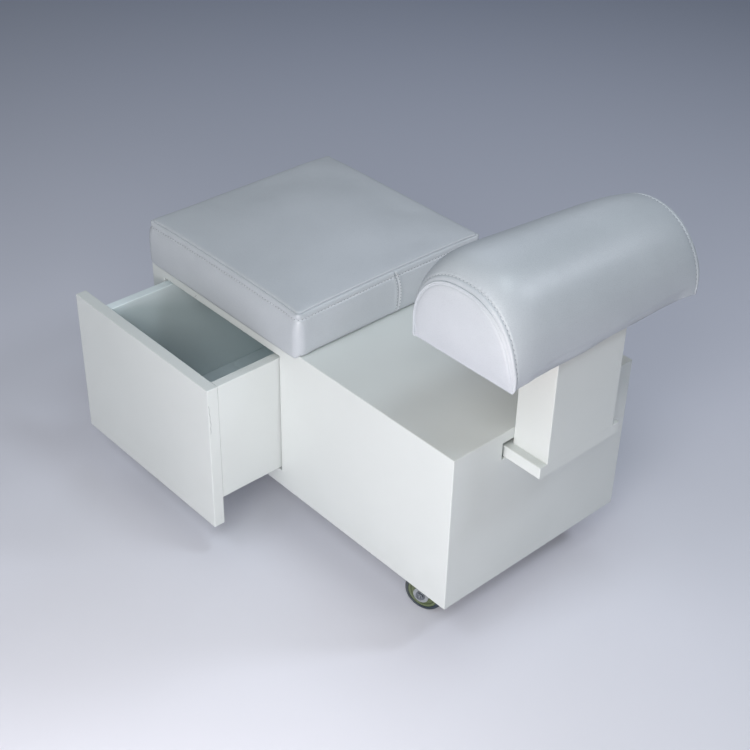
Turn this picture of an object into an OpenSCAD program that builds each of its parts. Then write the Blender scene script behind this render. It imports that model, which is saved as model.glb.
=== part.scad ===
// Pedicure footrest stool: a lacquered box on swivel casters, with a padded seat over a
// pull-out drawer, and a half-round padded footrest on a post that slides out at the front.
// Lengths are in millimetres. X runs to the footrest, -Y to the drawer side, Z up from the floor.
// The pieces are laid out from the rear corner of the box on the drawer side, and placed()
// then moves them so that the origin lies on the floor below the middle of the whole stool.

/* [Base] */
// Length of the base box
base_l = 662; // [610:1:800]
// Width of the base box
base_w = 350; // [310:1:420]
// Height of the base panels
base_h = 258; // [220:1:320]
// Thickness of the boards
board_t = 18; // [15:0.5:20]
// Height of the bottom board over the panels' lower edges
board_lift = 11; // [8:0.5:20]
// Width of the stile between the drawer opening and the rear edge
rear_stile = 31; // [26:1:50]
// Length of the drawer opening
opening_l = 281; // [220:1:300]
// Height of the rail over the drawer opening
top_rail_h = 22; // [21:0.5:40]

/* [Drawer] */
// Thickness of the drawer front
front_t = 18; // [15:0.5:25]
// Reach of the drawer front past the rear of the base
front_rear_lap = 22.5; // [0:0.5:30]
// Drop of the drawer front below the panels, which is its finger pull
front_drop = 14; // [0:0.5:18]
// Thickness of the drawer sides and back
drawer_wall_t = 15; // [12:0.5:18]
// Thickness of the drawer bottom
drawer_bottom_t = 6; // [4:0.5:9]
// Free depth behind the closed drawer
drawer_back_gap = 14; // [6:1:30]
// Whole travel of the drawer, to its stop pegs
drawer_travel = 220; // [150:1:235]
// How far the drawer stands open at rest
drawer_rest = 107; // [20:1:150]
// Thickness of the nylon glide strips
glide_t = 5; // [3:0.5:8]

/* [Seat] */
// Length of the seat cushion at its fullest
seat_l = 364.5; // [320:0.5:385]
// Width of the seat cushion at its fullest
seat_w = 365.5; // [320:0.5:385]
// Height of the cushion's top seam over the deck
seat_band_h = 69; // [50:1:100]
// Rise of the cushion's crown over its top seam
seat_crown = 8; // [4:0.5:20]
// How far the band swells past its seams
seat_swell = 8; // [2:0.5:10]
// How far the sides are drawn in between the corners
seat_draw = 3; // [0:0.5:6]
// Thickness of the seat's base board
seat_board_t = 12; // [9:0.5:18]

/* [Footrest] */
// Width of the sliding tongue board
tongue_w = 156; // [140:1:200]
// Height of the slot that the tongue comes out of
slot_h = 26; // [24:0.5:34]
// Travel of the footrest, from pushed in to its stop
footrest_travel = 150; // [80:1:200]
// Length of the post, along the stool
post_l = 60; // [50:1:90]
// Width of the post, across the stool
post_w = 130; // [100:1:136]
// Height of the post over the tongue
post_h = 173.7; // [120:0.1:260]
// Length of the footrest cushion, across the stool
bolster_l = 351; // [300:1:380]
// Width of the footrest cushion's foot, along the stool
bolster_w = 171; // [150:1:200]
// Height of the footrest cushion at its ends
bolster_h = 103; // [80:1:130]
// How far the footrest cushion's middle is set back from the post's middle
bolster_set_back = 29.3; // [20:0.1:40]
// How far the crown leans towards the seat
bolster_lean = 6.5; // [0:0.5:12]
// How far the cover swells upwards between its ends
bolster_crown_swell = 19; // [0:0.5:30]
// How far the cover swells towards the seat between its ends
bolster_rear_swell = 15.5; // [0:0.5:20]
// How far the cover swells to the front between its ends
bolster_front_swell = 5; // [0:0.5:6]
// How far the end panels swell
bolster_end_swell = 4; // [0:0.5:8]
// Thickness of the footrest's base board
bolster_board_t = 12; // [9:0.5:18]

/* [Casters] */
// Height of a caster, from the floor to the top of its plate
caster_h = 81; // [78:0.5:95]
// Diameter of the wheels
wheel_d = 60; // [50:1:62]
// Width of the wheels
wheel_w = 22; // [18:0.5:24]
// Distance from the swivel axis back to the wheel's axle
trail = 22; // [16:0.5:26]
// Width of the square top plate
plate_w = 54; // [50:0.5:55]
// Thickness of the top plate
plate_t = 2.5; // [2:0.1:3]
// Thickness of the fork's sheet steel
fork_t = 2; // [1.5:0.1:2.5]
// Distance from the ends of the base to the swivel axes
caster_inset_x = 54; // [50:0.5:80]
// Distance from the sides of the base to the swivel axes
caster_inset_y = 46; // [46:0.5:70]

/* [Hidden] */
CASTERS = ["rear_near", "rear_far", "front_near", "front_far"];
CASTER_PIECES = ["plate", "fork", "axle", "core", "tyre"];

// A cut runs past its board by this much
overrun = 1;
// A true circle has this many facets in the preview
round_fn = 48;

// Clearances between pieces that slide, seat or close on each other
slide_gap = 0.3;
seat_gap = 0.3;
close_gap = 0.5;
glue_gap = 0.1;
pin_gap = 0.06;

// Heights of the base, from the floor up
panel_z = caster_h - board_lift;
inside_z = caster_h + board_t;
top_z = panel_z + base_h;
top_under_z = top_z - board_t;
opening_top_z = top_z - top_rail_h;

// Places along and across the base
opening_end_x = rear_stile + opening_l;
front_inner_x = base_l - board_t;
far_inner_y = base_w - board_t;
inner_l = front_inner_x - board_t;
inner_w = far_inner_y - board_t;
middle_y = base_w / 2;

// Drawer box, laid out as it stands when shut
drawer_side_gap = 2;
drawer_top_gap = 4.6;
drawer_x = rear_stile + drawer_side_gap;
drawer_end_x = opening_end_x - drawer_side_gap;
drawer_l = drawer_end_x - drawer_x;
drawer_depth = far_inner_y - drawer_back_gap;
drawer_z = inside_z + glide_t + slide_gap;
drawer_top_z = opening_top_z - drawer_top_gap;
drawer_h = drawer_top_z - drawer_z;
rabbet_w = 7;
rabbet_h = drawer_bottom_t + glue_gap;
drawer_floor_z = drawer_z + rabbet_h;
front_x = -front_rear_lap;
front_z = panel_z - front_drop;
guide_h = 30;

// Beech dowels of the drawer, in rows up each joint
dowel_d = 8;
dowel_l = 30;
dowel_in_face = 11;
dowel_in_back = 9;
dowel_end_gap = 0.5;
dowel_height_share = [0.2, 0.5, 0.8];

// Stop pegs in the drawer sides, which meet the rail over the opening
peg_d = 6;
peg_depth = 14;
peg_overlap_share = 0.75;
peg_y = board_t + drawer_travel + peg_d / 2 + close_gap;
peg_top_z = opening_top_z + peg_overlap_share * (top_under_z - opening_top_z);

// Countersunk and pan-head wood screws
screw_d = 4.5;
screw_head_d = 9;
screw_head_h = 2.6;
screw_tip_l = 4;
screw_tip_d = 1;

// Seat cushion and its board
seat_rear_reach = 1;
seat_x = seat_l / 2 - seat_rear_reach;
seat_board_inset = 12;
seat_board_l = seat_l - 2 * seat_board_inset;
seat_board_w = seat_w - 2 * seat_board_inset;
seat_corner_r = 8;
seat_foot_corner_r = 16;
seat_board_corner_r = 4;
seat_screw_l = 26;
seat_screw_wall_gap = 36;
seat_screw_inset_y = 70;
// Up the band: share of its height, and share of its swell at that height
seat_band_share = [[0, 0.7], [0.06, 0.88], [0.2, 0.97], [0.42, 1], [0.7, 0.85], [0.9, 0.45], [1, 0]];
// Over the crown: share of the way out from the middle
seat_crown_share = [0.98, 0.92, 0.8, 0.62, 0.38, 0.14];
crown_power = 4;

// Tongue board, its slot and the grooved rails that carry it
slot_side_gap = 6;
slot_w = tongue_w + 2 * slot_side_gap;
slot_z = top_under_z - slot_h;
tongue_z = slot_z + slide_gap;
tongue_top_z = tongue_z + board_t;
tongue_rear_gap = 12;
tongue_x = opening_end_x + board_t + tongue_rear_gap;
post_x = base_l + slide_gap;
tongue_end_x = post_x + post_l;
tongue_l = tongue_end_x - tongue_x;
tongue_y = middle_y - tongue_w / 2;
stop_l = 18;
stop_h = 16;
rail_x = tongue_x + stop_l + footrest_travel + close_gap;
rail_end_gap = 5;
rail_l = front_inner_x - rail_end_gap - rail_x;
rail_web_t = 18;
rail_lip_t = 8;
rail_groove = 12;
rail_z = slot_z - rail_lip_t;
rail_h = top_under_z - rail_z;

// Post, a box of four boards with a cleat at each end
post_y = middle_y - post_w / 2;
post_x_middle = post_x + post_l / 2;
post_hollow_l = post_l - 2 * board_t;
post_hollow_w = post_w - 2 * board_t;
post_top_z = tongue_top_z + post_h;
cleat_h = 30;
post_screw_l = 40;
post_screw_pitch = 56;

// Footrest cushion and its board
bolster_x = post_x_middle - bolster_set_back;
bolster_z = post_top_z;
bolster_board_inset = 12;
bolster_board_l = bolster_l - 2 * bolster_board_inset;
bolster_board_w = bolster_w - 2 * bolster_board_inset;
bolster_screw_l = 34;
bolster_tuck = 2;
bolster_board_corner_r = 2;
bolster_power = 2.3;
bolster_swell_power = 7.5;
// Between these shares of its height the cover comes to swell fully
bolster_swell_share = [0.08, 0.5];
// Where the sections stand, as shares of the half length from the middle
bolster_place_share = [1, 0.985, 0.96, 0.92, 0.86, 0.76, 0.62, 0.4, 0.14];
// How much more the cover swells at the drawer side's end than in the middle
bolster_near_share = 0.57;
// The end panels are domed in rings, each a share of the section
bolster_dome_share = [0.4, 0.7, 0.9];
// A section's first point over its foot stands at this angle, and the arc over it has this many steps
bolster_foot_angle = 2;
bolster_steps = 26;
bolster_foot_steps = 6;

// Caster: plate, ball race and kingpin
plate_corner_r = 6;
plate_z = caster_h - plate_t;
plate_hole_pitch = 40;
plate_screw_l = 16;
ball_d = 4;
ball_count = 12;
race_r = 15;
race_space = 3;
ball_z = plate_z - race_space / 2;
dust_lip_r = 21.5;
dust_lip_t = 1.5;
dust_lip_h = 4;
kingpin_d = 8;
kingpin_head_d = 15;
kingpin_head_h = 2.5;
kingpin_flare_d = 12;
kingpin_flare_h = 1.6;

// Caster: fork, axle and wheel
crown_r = 20;
crown_z = plate_z - race_space - fork_t;
shoulder_z = crown_z - fork_t;
fork_inner_w = wheel_w + 5;
fork_outer_w = fork_inner_w + 2 * fork_t;
leg_end_r = 12;
leg_front_x = 13;
leg_rear_x = -19;
wheel_r = wheel_d / 2;
axle_d = 6;
axle_head_d = 11;
axle_head_h = 4;
axle_nut_h = 5;
axle_end_l = 2;
tread_t = 5.5;
tread_round_r = 4;
core_r = wheel_r - tread_t;
core_rim_t = 3;
core_rim_inset = 1;
core_web_t = 12;
hub_r = 8;
hub_side_gap = 0.5;

// Where each caster stands, and how far it has swivelled, in degrees
caster_x = [caster_inset_x, caster_inset_x, base_l - caster_inset_x, base_l - caster_inset_x];
caster_y = [caster_inset_y, base_w - caster_inset_y, caster_inset_y, base_w - caster_inset_y];
caster_turn = [-14, 9, 17, 28];

// Box around the whole stool, whose middle gives the origin
low_x = min(front_x, -seat_rear_reach);
high_x = bolster_x + bolster_point(bolster_foot_angle, 1)[0];
low_y = -drawer_rest - front_t;
high_y = max(base_w, middle_y + seat_w / 2, middle_y + bolster_l / 2 + bolster_end_swell);
origin_x = (low_x + high_x) / 2;
origin_y = (low_y + high_y) / 2;

module placed() {
    translate([-origin_x, -origin_y, 0]) children();
}

module block(low, size) {
    translate(low) cube(size);
}

// A dowel, peg or hole along Z from its lower end
module rod(length, diameter) {
    cylinder(h = length, d = diameter, $fn = round_fn);
}

// A rounded rectangle, drawn as its middle cross and four corner circles
module rounded_plan(l, w, r) {
    square([l - 2 * r, w], center = true);
    square([l, w - 2 * r], center = true);
    for (sx = [-1, 1], sy = [-1, 1]) {
        translate([sx * (l / 2 - r), sy * (w / 2 - r)]) circle(r, $fn = round_fn);
    }
}

// A wood screw along Z, its head's top face at the origin and its point downwards
module countersunk_screw(length) {
    rotate_extrude($fn = round_fn) polygon([
        [0, 0],
        [screw_head_d / 2, 0],
        [screw_d / 2, -screw_head_h],
        [screw_d / 2, screw_tip_l - length],
        [screw_tip_d / 2, -length],
        [0, -length]]);
}

// The hole that a countersunk screw fills
module countersunk_hole(length) {
    rotate_extrude($fn = round_fn) polygon([
        [0, overrun],
        [screw_head_d / 2 + glue_gap, overrun],
        [screw_head_d / 2 + glue_gap, 0],
        [screw_d / 2 + glue_gap, -screw_head_h],
        [screw_d / 2 + glue_gap, -length - dowel_end_gap],
        [0, -length - dowel_end_gap]]);
}

// A pan-head wood screw along Z, the underside of its head at the origin, its point upwards
module pan_screw(length) {
    translate([0, 0, -screw_head_h]) rod(screw_head_h, screw_head_d);
    rotate_extrude($fn = round_fn) polygon([
        [0, -screw_head_h / 2],
        [screw_d / 2, -screw_head_h / 2],
        [screw_d / 2, length - screw_tip_l],
        [screw_tip_d / 2, length],
        [0, length]]);
}

// The hole that a pan-head screw goes into, from below
module pan_hole(length) {
    translate([0, 0, -overrun]) rod(length + dowel_end_gap + overrun, screw_d + 2 * glue_gap);
}

// BASE BOX
// The side with the drawer opening: one board with a rectangular cut-out
module side_panel_drawer() {
    color("white") difference() {
        block([0, 0, panel_z], [base_l, board_t, base_h]);
        block([rear_stile, -overrun, inside_z],
              [opening_l, board_t + 2 * overrun, opening_top_z - inside_z]);
    }
}

module side_panel_plain() {
    color("white") block([0, far_inner_y, panel_z], [base_l, board_t, base_h]);
}

// The front board with the slot for the tongue
module front_panel() {
    color("white") difference() {
        block([front_inner_x, board_t, panel_z], [board_t, inner_w, base_h]);
        block([front_inner_x - overrun, middle_y - slot_w / 2, slot_z],
              [board_t + 2 * overrun, slot_w, slot_h]);
    }
}

module rear_panel() {
    color("white") block([0, board_t, panel_z], [board_t, inner_w, base_h]);
}

// Puts its children at each screw of the seat, on the underside of the top board: two by the
// rear panel and two by the partition
module at_seat_screws() {
    for (x = [board_t + seat_screw_wall_gap, opening_end_x - seat_screw_wall_gap], side = [-1, 1]) {
        translate([x, middle_y + side * (seat_board_w / 2 - seat_screw_inset_y), top_under_z])
            children();
    }
}

module top_board() {
    color("white") difference() {
        block([board_t, board_t, top_under_z], [inner_l, inner_w, board_t]);
        at_seat_screws() pan_hole(board_t + overrun);
    }
}

// Puts its children at each caster, turned as the caster stands
module at_casters() {
    for (i = [0 : len(CASTERS) - 1]) at_caster(i) children();
}

module at_caster(i) {
    translate([caster_x[i], caster_y[i], 0]) rotate(caster_turn[i]) children();
}

// Puts its children at each screw of the caster plates, on the plates' undersides
module at_caster_screws() {
    for (i = [0 : len(CASTERS) - 1], sx = [-1, 1], sy = [-1, 1]) {
        translate([caster_x[i] + sx * plate_hole_pitch / 2,
                   caster_y[i] + sy * plate_hole_pitch / 2,
                   plate_z]) children();
    }
}

module bottom_board() {
    color("white") difference() {
        block([board_t, board_t, caster_h], [inner_l, inner_w, board_t]);
        at_caster_screws() pan_hole(plate_screw_l);
    }
}

// The wall between the drawer's bay and the footrest's bay
module partition() {
    color("white") block([opening_end_x, board_t, inside_z], [board_t, inner_w, top_under_z - inside_z]);
}

// Two nylon strips under the drawer sides
module drawer_glides() {
    color("gainsboro") for (x = [drawer_x, drawer_end_x - drawer_wall_t]) {
        block([x, board_t, inside_z], [drawer_wall_t, inner_w, glide_t]);
    }
}

// The batten beside the drawer, against the rear panel
module drawer_guide() {
    color("tan") block([board_t, board_t, inside_z],
                       [drawer_x - close_gap - board_t, inner_w, guide_h]);
}

// A grooved batten under the top board, on one edge of the tongue
module tongue_rail() {
    difference() {
        block([rail_x, tongue_y - slide_gap - rail_web_t, rail_z],
              [rail_l, rail_web_t + rail_groove + slide_gap, rail_h]);
        block([rail_x - overrun, tongue_y - slide_gap, slot_z],
              [rail_l + 2 * overrun, rail_groove + slide_gap + overrun, board_t + 2 * slide_gap]);
    }
}

module tongue_rail_near() {
    color("tan") tongue_rail();
}

module tongue_rail_far() {
    color("tan") translate([0, base_w, 0]) mirror([0, 1, 0]) tongue_rail();
}

// CUSHIONS
// One corner of a ring: an arc of points about the corner's own middle
corner_steps = 3;
side_steps = 6;
function corner_arc(hx, hy, r, k) = [for (i = [0 : corner_steps])
    let (a = 90 * (k + i / corner_steps),
         sx = k == 0 || k == 3 ? 1 : -1,
         sy = k < 2 ? 1 : -1)
    [sx * (hx - r) + r * cos(a), sy * (hy - r) + r * sin(a)]];
// The points on the straight side that leads from one corner to the next
function side_line(from, to) = [for (i = [1 : side_steps - 1]) from + (to - from) * i / side_steps];
function outline(hx, hy, r) = [for (k = [0 : 3])
    let (arc = corner_arc(hx, hy, r, k), next = corner_arc(hx, hy, r, (k + 1) % 4))
    each concat(arc, side_line(arc[corner_steps], next[0]))];
// How much of the draw a point takes: all in the middle of a side, none at its corners
function draw_share(place, half) = 1 - pow(min(1, abs(place) / half), 2);
// Sides move in between the corners by draw_x and draw_y
function drawn(p, hx, hy, r, draw_x, draw_y) = [
    p[0] * (1 - draw_x / hx * draw_share(p[1], hy - r)),
    p[1] * (1 - draw_y / hy * draw_share(p[0], hx - r))];
function ring(hx, hy, r, z, draw_x = 0, draw_y = 0) = [for (p = outline(hx, hy, r))
    let (q = drawn(p, hx, hy, r, draw_x, draw_y)) [q[0], q[1], z]];

// The middle of a ring, where the triangles of its cap meet
function ring_middle(points) = [for (axis = [0 : 2])
    let (values = [for (p = points) p[axis]]) (min(values) + max(values)) / 2];

// A closed skin of triangles through rings with the same number of points
module ring_stack(rings) {
    n = len(rings[0]);
    last = len(rings) - 1;
    low = (last + 1) * n;
    high = low + 1;
    sides = [for (j = [0 : last - 1], i = [0 : n - 1])
        let (a = j * n + i, b = j * n + (i + 1) % n)
        each [[a, a + n, b + n], [a, b + n, b]]];
    caps = [for (i = [0 : n - 1])
        let (next = (i + 1) % n)
        each [[i, next, low], [last * n + next, last * n + i, high]]];
    polyhedron(
        points = concat([for (r = rings) each r], [ring_middle(rings[0]), ring_middle(rings[last])]),
        faces = concat(sides, caps));
}

module seat_board() {
    color("burlywood") difference() {
        translate([seat_x, middle_y, top_z]) linear_extrude(seat_board_t)
            rounded_plan(seat_board_l, seat_board_w, seat_board_corner_r);
        at_seat_screws() pan_hole(seat_screw_l);
    }
}

// Seams of the seat stand this far in from its fullest outline
seat_seam_x = seat_l / 2 - seat_swell;
seat_seam_y = seat_w / 2 - seat_swell;

function seat_band_ring(share) = ring(
    seat_seam_x + share[1] * seat_swell,
    seat_seam_y + share[1] * seat_swell,
    seat_foot_corner_r + share[0] * (seat_corner_r - seat_foot_corner_r),
    share[0] * seat_band_h,
    share[0] * seat_draw,
    share[0] * seat_draw);

function seat_crown_ring(s) = ring(
    s * seat_seam_x,
    s * seat_seam_y,
    s * seat_corner_r,
    seat_band_h + seat_crown * (1 - pow(s, crown_power)),
    s * seat_draw,
    s * seat_draw);

function recess_ring(l, w, r, z) = ring(l / 2 + seat_gap, w / 2 + seat_gap, r + seat_gap, z);

// A square boxed cushion over its board: swelling band, drawn-in top seam, crowned top
module seat_cushion() {
    color("whitesmoke") translate([seat_x, middle_y, top_z + seat_gap]) ring_stack(concat(
        [recess_ring(seat_board_l, seat_board_w, seat_board_corner_r, seat_board_t),
         recess_ring(seat_board_l, seat_board_w, seat_board_corner_r, 0)],
        [for (share = seat_band_share) seat_band_ring(share)],
        [for (s = seat_crown_share) seat_crown_ring(s)]));
}

module seat_screws() {
    color("silver") at_seat_screws() pan_screw(seat_screw_l);
}

// DRAWER
module drawer_placed() {
    translate([0, -drawer_rest, 0]) children();
}

// Puts its children along Y, at each dowel between a drawer side and the front
module at_front_dowels(x) {
    for (share = dowel_height_share) {
        translate([x, -dowel_in_face, drawer_z + share * drawer_h]) rotate([-90, 0, 0]) children();
    }
}

// Puts its children along X, at each dowel between a drawer side and the back
module at_back_dowels(x, way) {
    for (share = dowel_height_share) {
        translate([x, drawer_depth - drawer_wall_t / 2, drawer_floor_z + share * drawer_h])
            rotate([0, way * 90, 0]) translate([0, 0, -dowel_in_back]) children();
    }
}

module dowel() {
    rod(dowel_l, dowel_d);
}

module dowel_hole() {
    translate([0, 0, -dowel_end_gap]) rod(dowel_l + 2 * dowel_end_gap, dowel_d + 2 * glue_gap);
}

rear_wall_x = drawer_x + drawer_wall_t / 2;
front_wall_x = drawer_end_x - drawer_wall_t / 2;

module drawer_front() {
    color("white") drawer_placed() difference() {
        block([front_x, -front_t, front_z], [drawer_end_x - front_x, front_t, drawer_top_z - front_z]);
        at_front_dowels(rear_wall_x) dowel_hole();
        at_front_dowels(front_wall_x) dowel_hole();
    }
}

// One drawer side, rabbeted for the bottom; way is 1 where the drawer's inside lies to +X
module drawer_side(x, way) {
    inner_x = x + way * drawer_wall_t / 2;
    difference() {
        block([x - drawer_wall_t / 2, 0, drawer_z], [drawer_wall_t, drawer_depth, drawer_h]);
        block([inner_x - (way > 0 ? rabbet_w : overrun), -overrun, drawer_z - overrun],
              [rabbet_w + overrun, drawer_depth + 2 * overrun, rabbet_h + overrun]);
        at_front_dowels(x) dowel_hole();
        at_back_dowels(inner_x, way) dowel_hole();
        translate([x, peg_y, drawer_top_z - peg_depth]) rod(peg_depth + overrun, peg_d + 2 * glue_gap);
    }
}

module drawer_side_rear() {
    color("white") drawer_placed() drawer_side(rear_wall_x, 1);
}

module drawer_side_front() {
    color("white") drawer_placed() drawer_side(front_wall_x, -1);
}

module drawer_back() {
    color("white") drawer_placed() difference() {
        block([drawer_x + drawer_wall_t, drawer_depth - drawer_wall_t, drawer_floor_z],
              [drawer_l - 2 * drawer_wall_t, drawer_wall_t, drawer_top_z - drawer_floor_z]);
        at_back_dowels(drawer_x + drawer_wall_t, 1) dowel_hole();
        at_back_dowels(drawer_end_x - drawer_wall_t, -1) dowel_hole();
    }
}

module drawer_bottom() {
    color("lightgray") drawer_placed()
        block([drawer_x + drawer_wall_t - rabbet_w + glue_gap, 0, drawer_z],
              [drawer_l - 2 * (drawer_wall_t - rabbet_w + glue_gap), drawer_depth, drawer_bottom_t]);
}

module drawer_dowels() {
    color("burlywood") drawer_placed() {
        at_front_dowels(rear_wall_x) dowel();
        at_front_dowels(front_wall_x) dowel();
        at_back_dowels(drawer_x + drawer_wall_t, 1) dowel();
        at_back_dowels(drawer_end_x - drawer_wall_t, -1) dowel();
    }
}

module drawer_stop_pegs() {
    peg_z = drawer_top_z - peg_depth + dowel_end_gap;
    color("silver") drawer_placed() for (x = [rear_wall_x, front_wall_x]) {
        translate([x, peg_y, peg_z]) rod(peg_top_z - peg_z, peg_d);
    }
}

// FOOTREST
// Puts its children at each screw up the middle of the post
module at_post_screws(z) {
    for (side = [-1, 1]) {
        translate([post_x_middle, middle_y + side * post_screw_pitch / 2, z]) children();
    }
}

module tongue_board() {
    color("white") difference() {
        block([tongue_x, tongue_y, tongue_z], [tongue_l, tongue_w, board_t]);
        at_post_screws(tongue_z) mirror([0, 0, 1]) countersunk_hole(post_screw_l);
    }
}

// The cleat under the tongue's inner end, which meets the rails when the footrest is out
module tongue_stop() {
    color("tan") block([tongue_x, tongue_y, tongue_z - stop_h], [stop_l, tongue_w, stop_h]);
}

module post_front() {
    color("white") block([tongue_end_x - board_t, post_y, tongue_top_z], [board_t, post_w, post_h]);
}

module post_back() {
    color("white") block([post_x, post_y, tongue_top_z], [board_t, post_w, post_h]);
}

module post_side_near() {
    color("white") block([post_x + board_t, post_y, tongue_top_z], [post_hollow_l, board_t, post_h]);
}

module post_side_far() {
    color("white") block([post_x + board_t, post_y + post_w - board_t, tongue_top_z],
                         [post_hollow_l, board_t, post_h]);
}

// A block in each end of the post takes the screws
module post_cleats() {
    color("tan") difference() {
        for (z = [tongue_top_z, post_top_z - cleat_h]) {
            block([post_x + board_t, post_y + board_t, z], [post_hollow_l, post_hollow_w, cleat_h]);
        }
        at_post_screws(tongue_z) mirror([0, 0, 1]) countersunk_hole(post_screw_l);
        at_post_screws(bolster_z + bolster_board_t) countersunk_hole(bolster_screw_l);
    }
}

module post_screws() {
    color("silver") at_post_screws(tongue_z) mirror([0, 0, 1]) countersunk_screw(post_screw_l);
}

module bolster_board() {
    color("burlywood") difference() {
        translate([bolster_x, middle_y, bolster_z]) linear_extrude(bolster_board_t)
            rounded_plan(bolster_board_w, bolster_board_l, bolster_board_corner_r);
        at_post_screws(bolster_z + bolster_board_t) countersunk_hole(bolster_screw_l);
    }
}

// How much of its swell the cover has at a place along its length, from -1 to 1
function bolster_bulge(place) =
    (1 - pow(abs(place), bolster_swell_power)) * (1 - bolster_near_share * place);

// A point on the half-round section, at an angle from its front foot over the top to its rear foot
function bolster_point(angle, place) =
    let (side = sign(cos(angle)) * pow(abs(cos(angle)), 2 / bolster_power),
         up = pow(sin(angle), 2 / bolster_power),
         bulge = bolster_bulge(place),
         swell = side > 0 ? bolster_front_swell : bolster_rear_swell,
         swollen = (up - bolster_swell_share[0]) / (bolster_swell_share[1] - bolster_swell_share[0]))
    [side * (bolster_w / 2 + swell * bulge * max(0, min(1, swollen))) - bolster_lean * up,
     place * bolster_l / 2,
     up * (bolster_h + bolster_crown_swell * bulge)];

// A whole section: the arc of a superellipse, and the flat foot that closes it
function bolster_section(place) = concat(
    [for (i = [0 : bolster_steps])
        bolster_point(bolster_foot_angle + (180 - 2 * bolster_foot_angle) * i / bolster_steps, place)],
    [for (i = [0 : bolster_foot_steps])
        [(2 * i / bolster_foot_steps - 1) * (bolster_w / 2 - bolster_tuck), place * bolster_l / 2, 0]]);

// An end section shrunk about its middle and moved out, as a ring of the domed end panel
function bolster_dome(end, share) =
    let (points = bolster_section(end), middle = ring_middle(points))
    [for (p = points)
        [middle[0] + share * (p[0] - middle[0]),
         p[1] + end * bolster_end_swell * (1 - share * share),
         middle[2] + share * (p[2] - middle[2])]];

// A half-round cushion over its board: a cover that swells between two domed end panels
module bolster_cushion() {
    last = len(bolster_place_share) - 1;
    dome_last = len(bolster_dome_share) - 1;
    color("whitesmoke") translate([bolster_x, middle_y, bolster_z]) difference() {
        ring_stack(concat(
            [for (share = bolster_dome_share) bolster_dome(1, share)],
            [for (share = bolster_place_share) bolster_section(share)],
            [for (i = [0 : last]) bolster_section(-bolster_place_share[last - i])],
            [for (i = [0 : dome_last]) bolster_dome(-1, bolster_dome_share[dome_last - i])]));
        block([-bolster_board_w / 2 - seat_gap, -bolster_board_l / 2 - seat_gap, -overrun],
              [bolster_board_w + 2 * seat_gap, bolster_board_l + 2 * seat_gap,
               bolster_board_t + seat_gap + overrun]);
    }
}

module bolster_screws() {
    color("silver") at_post_screws(bolster_z + bolster_board_t) countersunk_screw(bolster_screw_l);
}

// CASTERS
// The plate has a race for the balls, a lip against dust and a hole flared for the kingpin
module caster_plate(i) {
    color("silver") translate([caster_x[i], caster_y[i], 0]) difference() {
        union() {
            translate([0, 0, plate_z]) linear_extrude(plate_t) rounded_plan(plate_w, plate_w, plate_corner_r);
            translate([0, 0, plate_z - dust_lip_h])
                rod(dust_lip_h + plate_t / 2, 2 * (dust_lip_r + dust_lip_t));
        }
        translate([0, 0, plate_z - dust_lip_h - overrun]) rod(dust_lip_h + overrun, 2 * dust_lip_r);
        translate([0, 0, plate_z - overrun]) rod(plate_t + 2 * overrun, kingpin_d + 2 * glue_gap);
        translate([0, 0, caster_h - kingpin_flare_h - glue_gap])
            rod(kingpin_flare_h + glue_gap + overrun, kingpin_flare_d + 2 * glue_gap);
        translate([0, 0, ball_z]) rotate_extrude($fn = round_fn)
            translate([race_r, 0]) circle(d = ball_d + 2 * glue_gap, $fn = round_fn);
        for (sx = [-1, 1], sy = [-1, 1]) {
            translate([sx * plate_hole_pitch / 2, sy * plate_hole_pitch / 2, plate_z - overrun])
                rod(plate_t + 2 * overrun, screw_d + 2 * slide_gap);
        }
    }
}

module caster_screws() {
    color("silver") at_caster_screws() pan_screw(plate_screw_l);
}

// The kingpin holds the fork up to the plate: a shank, a wide head below, a flare on top
module caster_kingpins() {
    head_z = shoulder_z - slide_gap - kingpin_head_h;
    color("dimgray") at_casters() {
        translate([0, 0, head_z]) rod(kingpin_head_h, kingpin_head_d);
        translate([0, 0, head_z]) rod(caster_h - head_z, kingpin_d);
        translate([0, 0, caster_h - kingpin_flare_h]) rod(kingpin_flare_h, kingpin_flare_d);
    }
}

module caster_balls() {
    color("lightsteelblue") at_casters() for (b = [0 : ball_count - 1]) {
        rotate(360 * b / ball_count) translate([race_r, 0, ball_z]) sphere(d = ball_d, $fn = round_fn);
    }
}

// The outline of a fork leg, seen from the side: a round end at the axle, wider at the top
module leg_outline() {
    translate([-trail, wheel_r]) circle(leg_end_r, $fn = round_fn);
    polygon([
        [-trail - leg_end_r, wheel_r],
        [leg_rear_x - leg_end_r / 2, wheel_d - leg_end_r],
        [leg_rear_x, shoulder_z + fork_t],
        [leg_front_x, shoulder_z + fork_t],
        [leg_front_x - leg_end_r / 2, wheel_d - leg_end_r],
        [-trail + leg_end_r, wheel_r]]);
}

// Sheet steel bent into a fork: a round crown on the balls, shoulders, and a leg each side
module caster_fork(i) {
    color("silver") at_caster(i) difference() {
        union() {
            translate([0, 0, crown_z]) rod(fork_t, 2 * crown_r);
            block([leg_rear_x, -fork_outer_w / 2, shoulder_z],
                  [leg_front_x - leg_rear_x, fork_outer_w, fork_t]);
            for (y = [fork_inner_w / 2 + fork_t, -fork_inner_w / 2]) {
                translate([0, y, 0]) rotate([90, 0, 0]) linear_extrude(fork_t) leg_outline();
            }
        }
        translate([0, 0, shoulder_z - overrun])
            rod(2 * fork_t + 2 * overrun, kingpin_d + 2 * pin_gap);
        translate([0, 0, ball_z]) rotate_extrude($fn = round_fn)
            translate([race_r, 0]) circle(d = ball_d + 2 * slide_gap, $fn = round_fn);
        translate([-trail, fork_outer_w / 2 + overrun, wheel_r]) rotate([90, 0, 0])
            rod(fork_outer_w + 2 * overrun, axle_d + 2 * glue_gap);
    }
}

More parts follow.
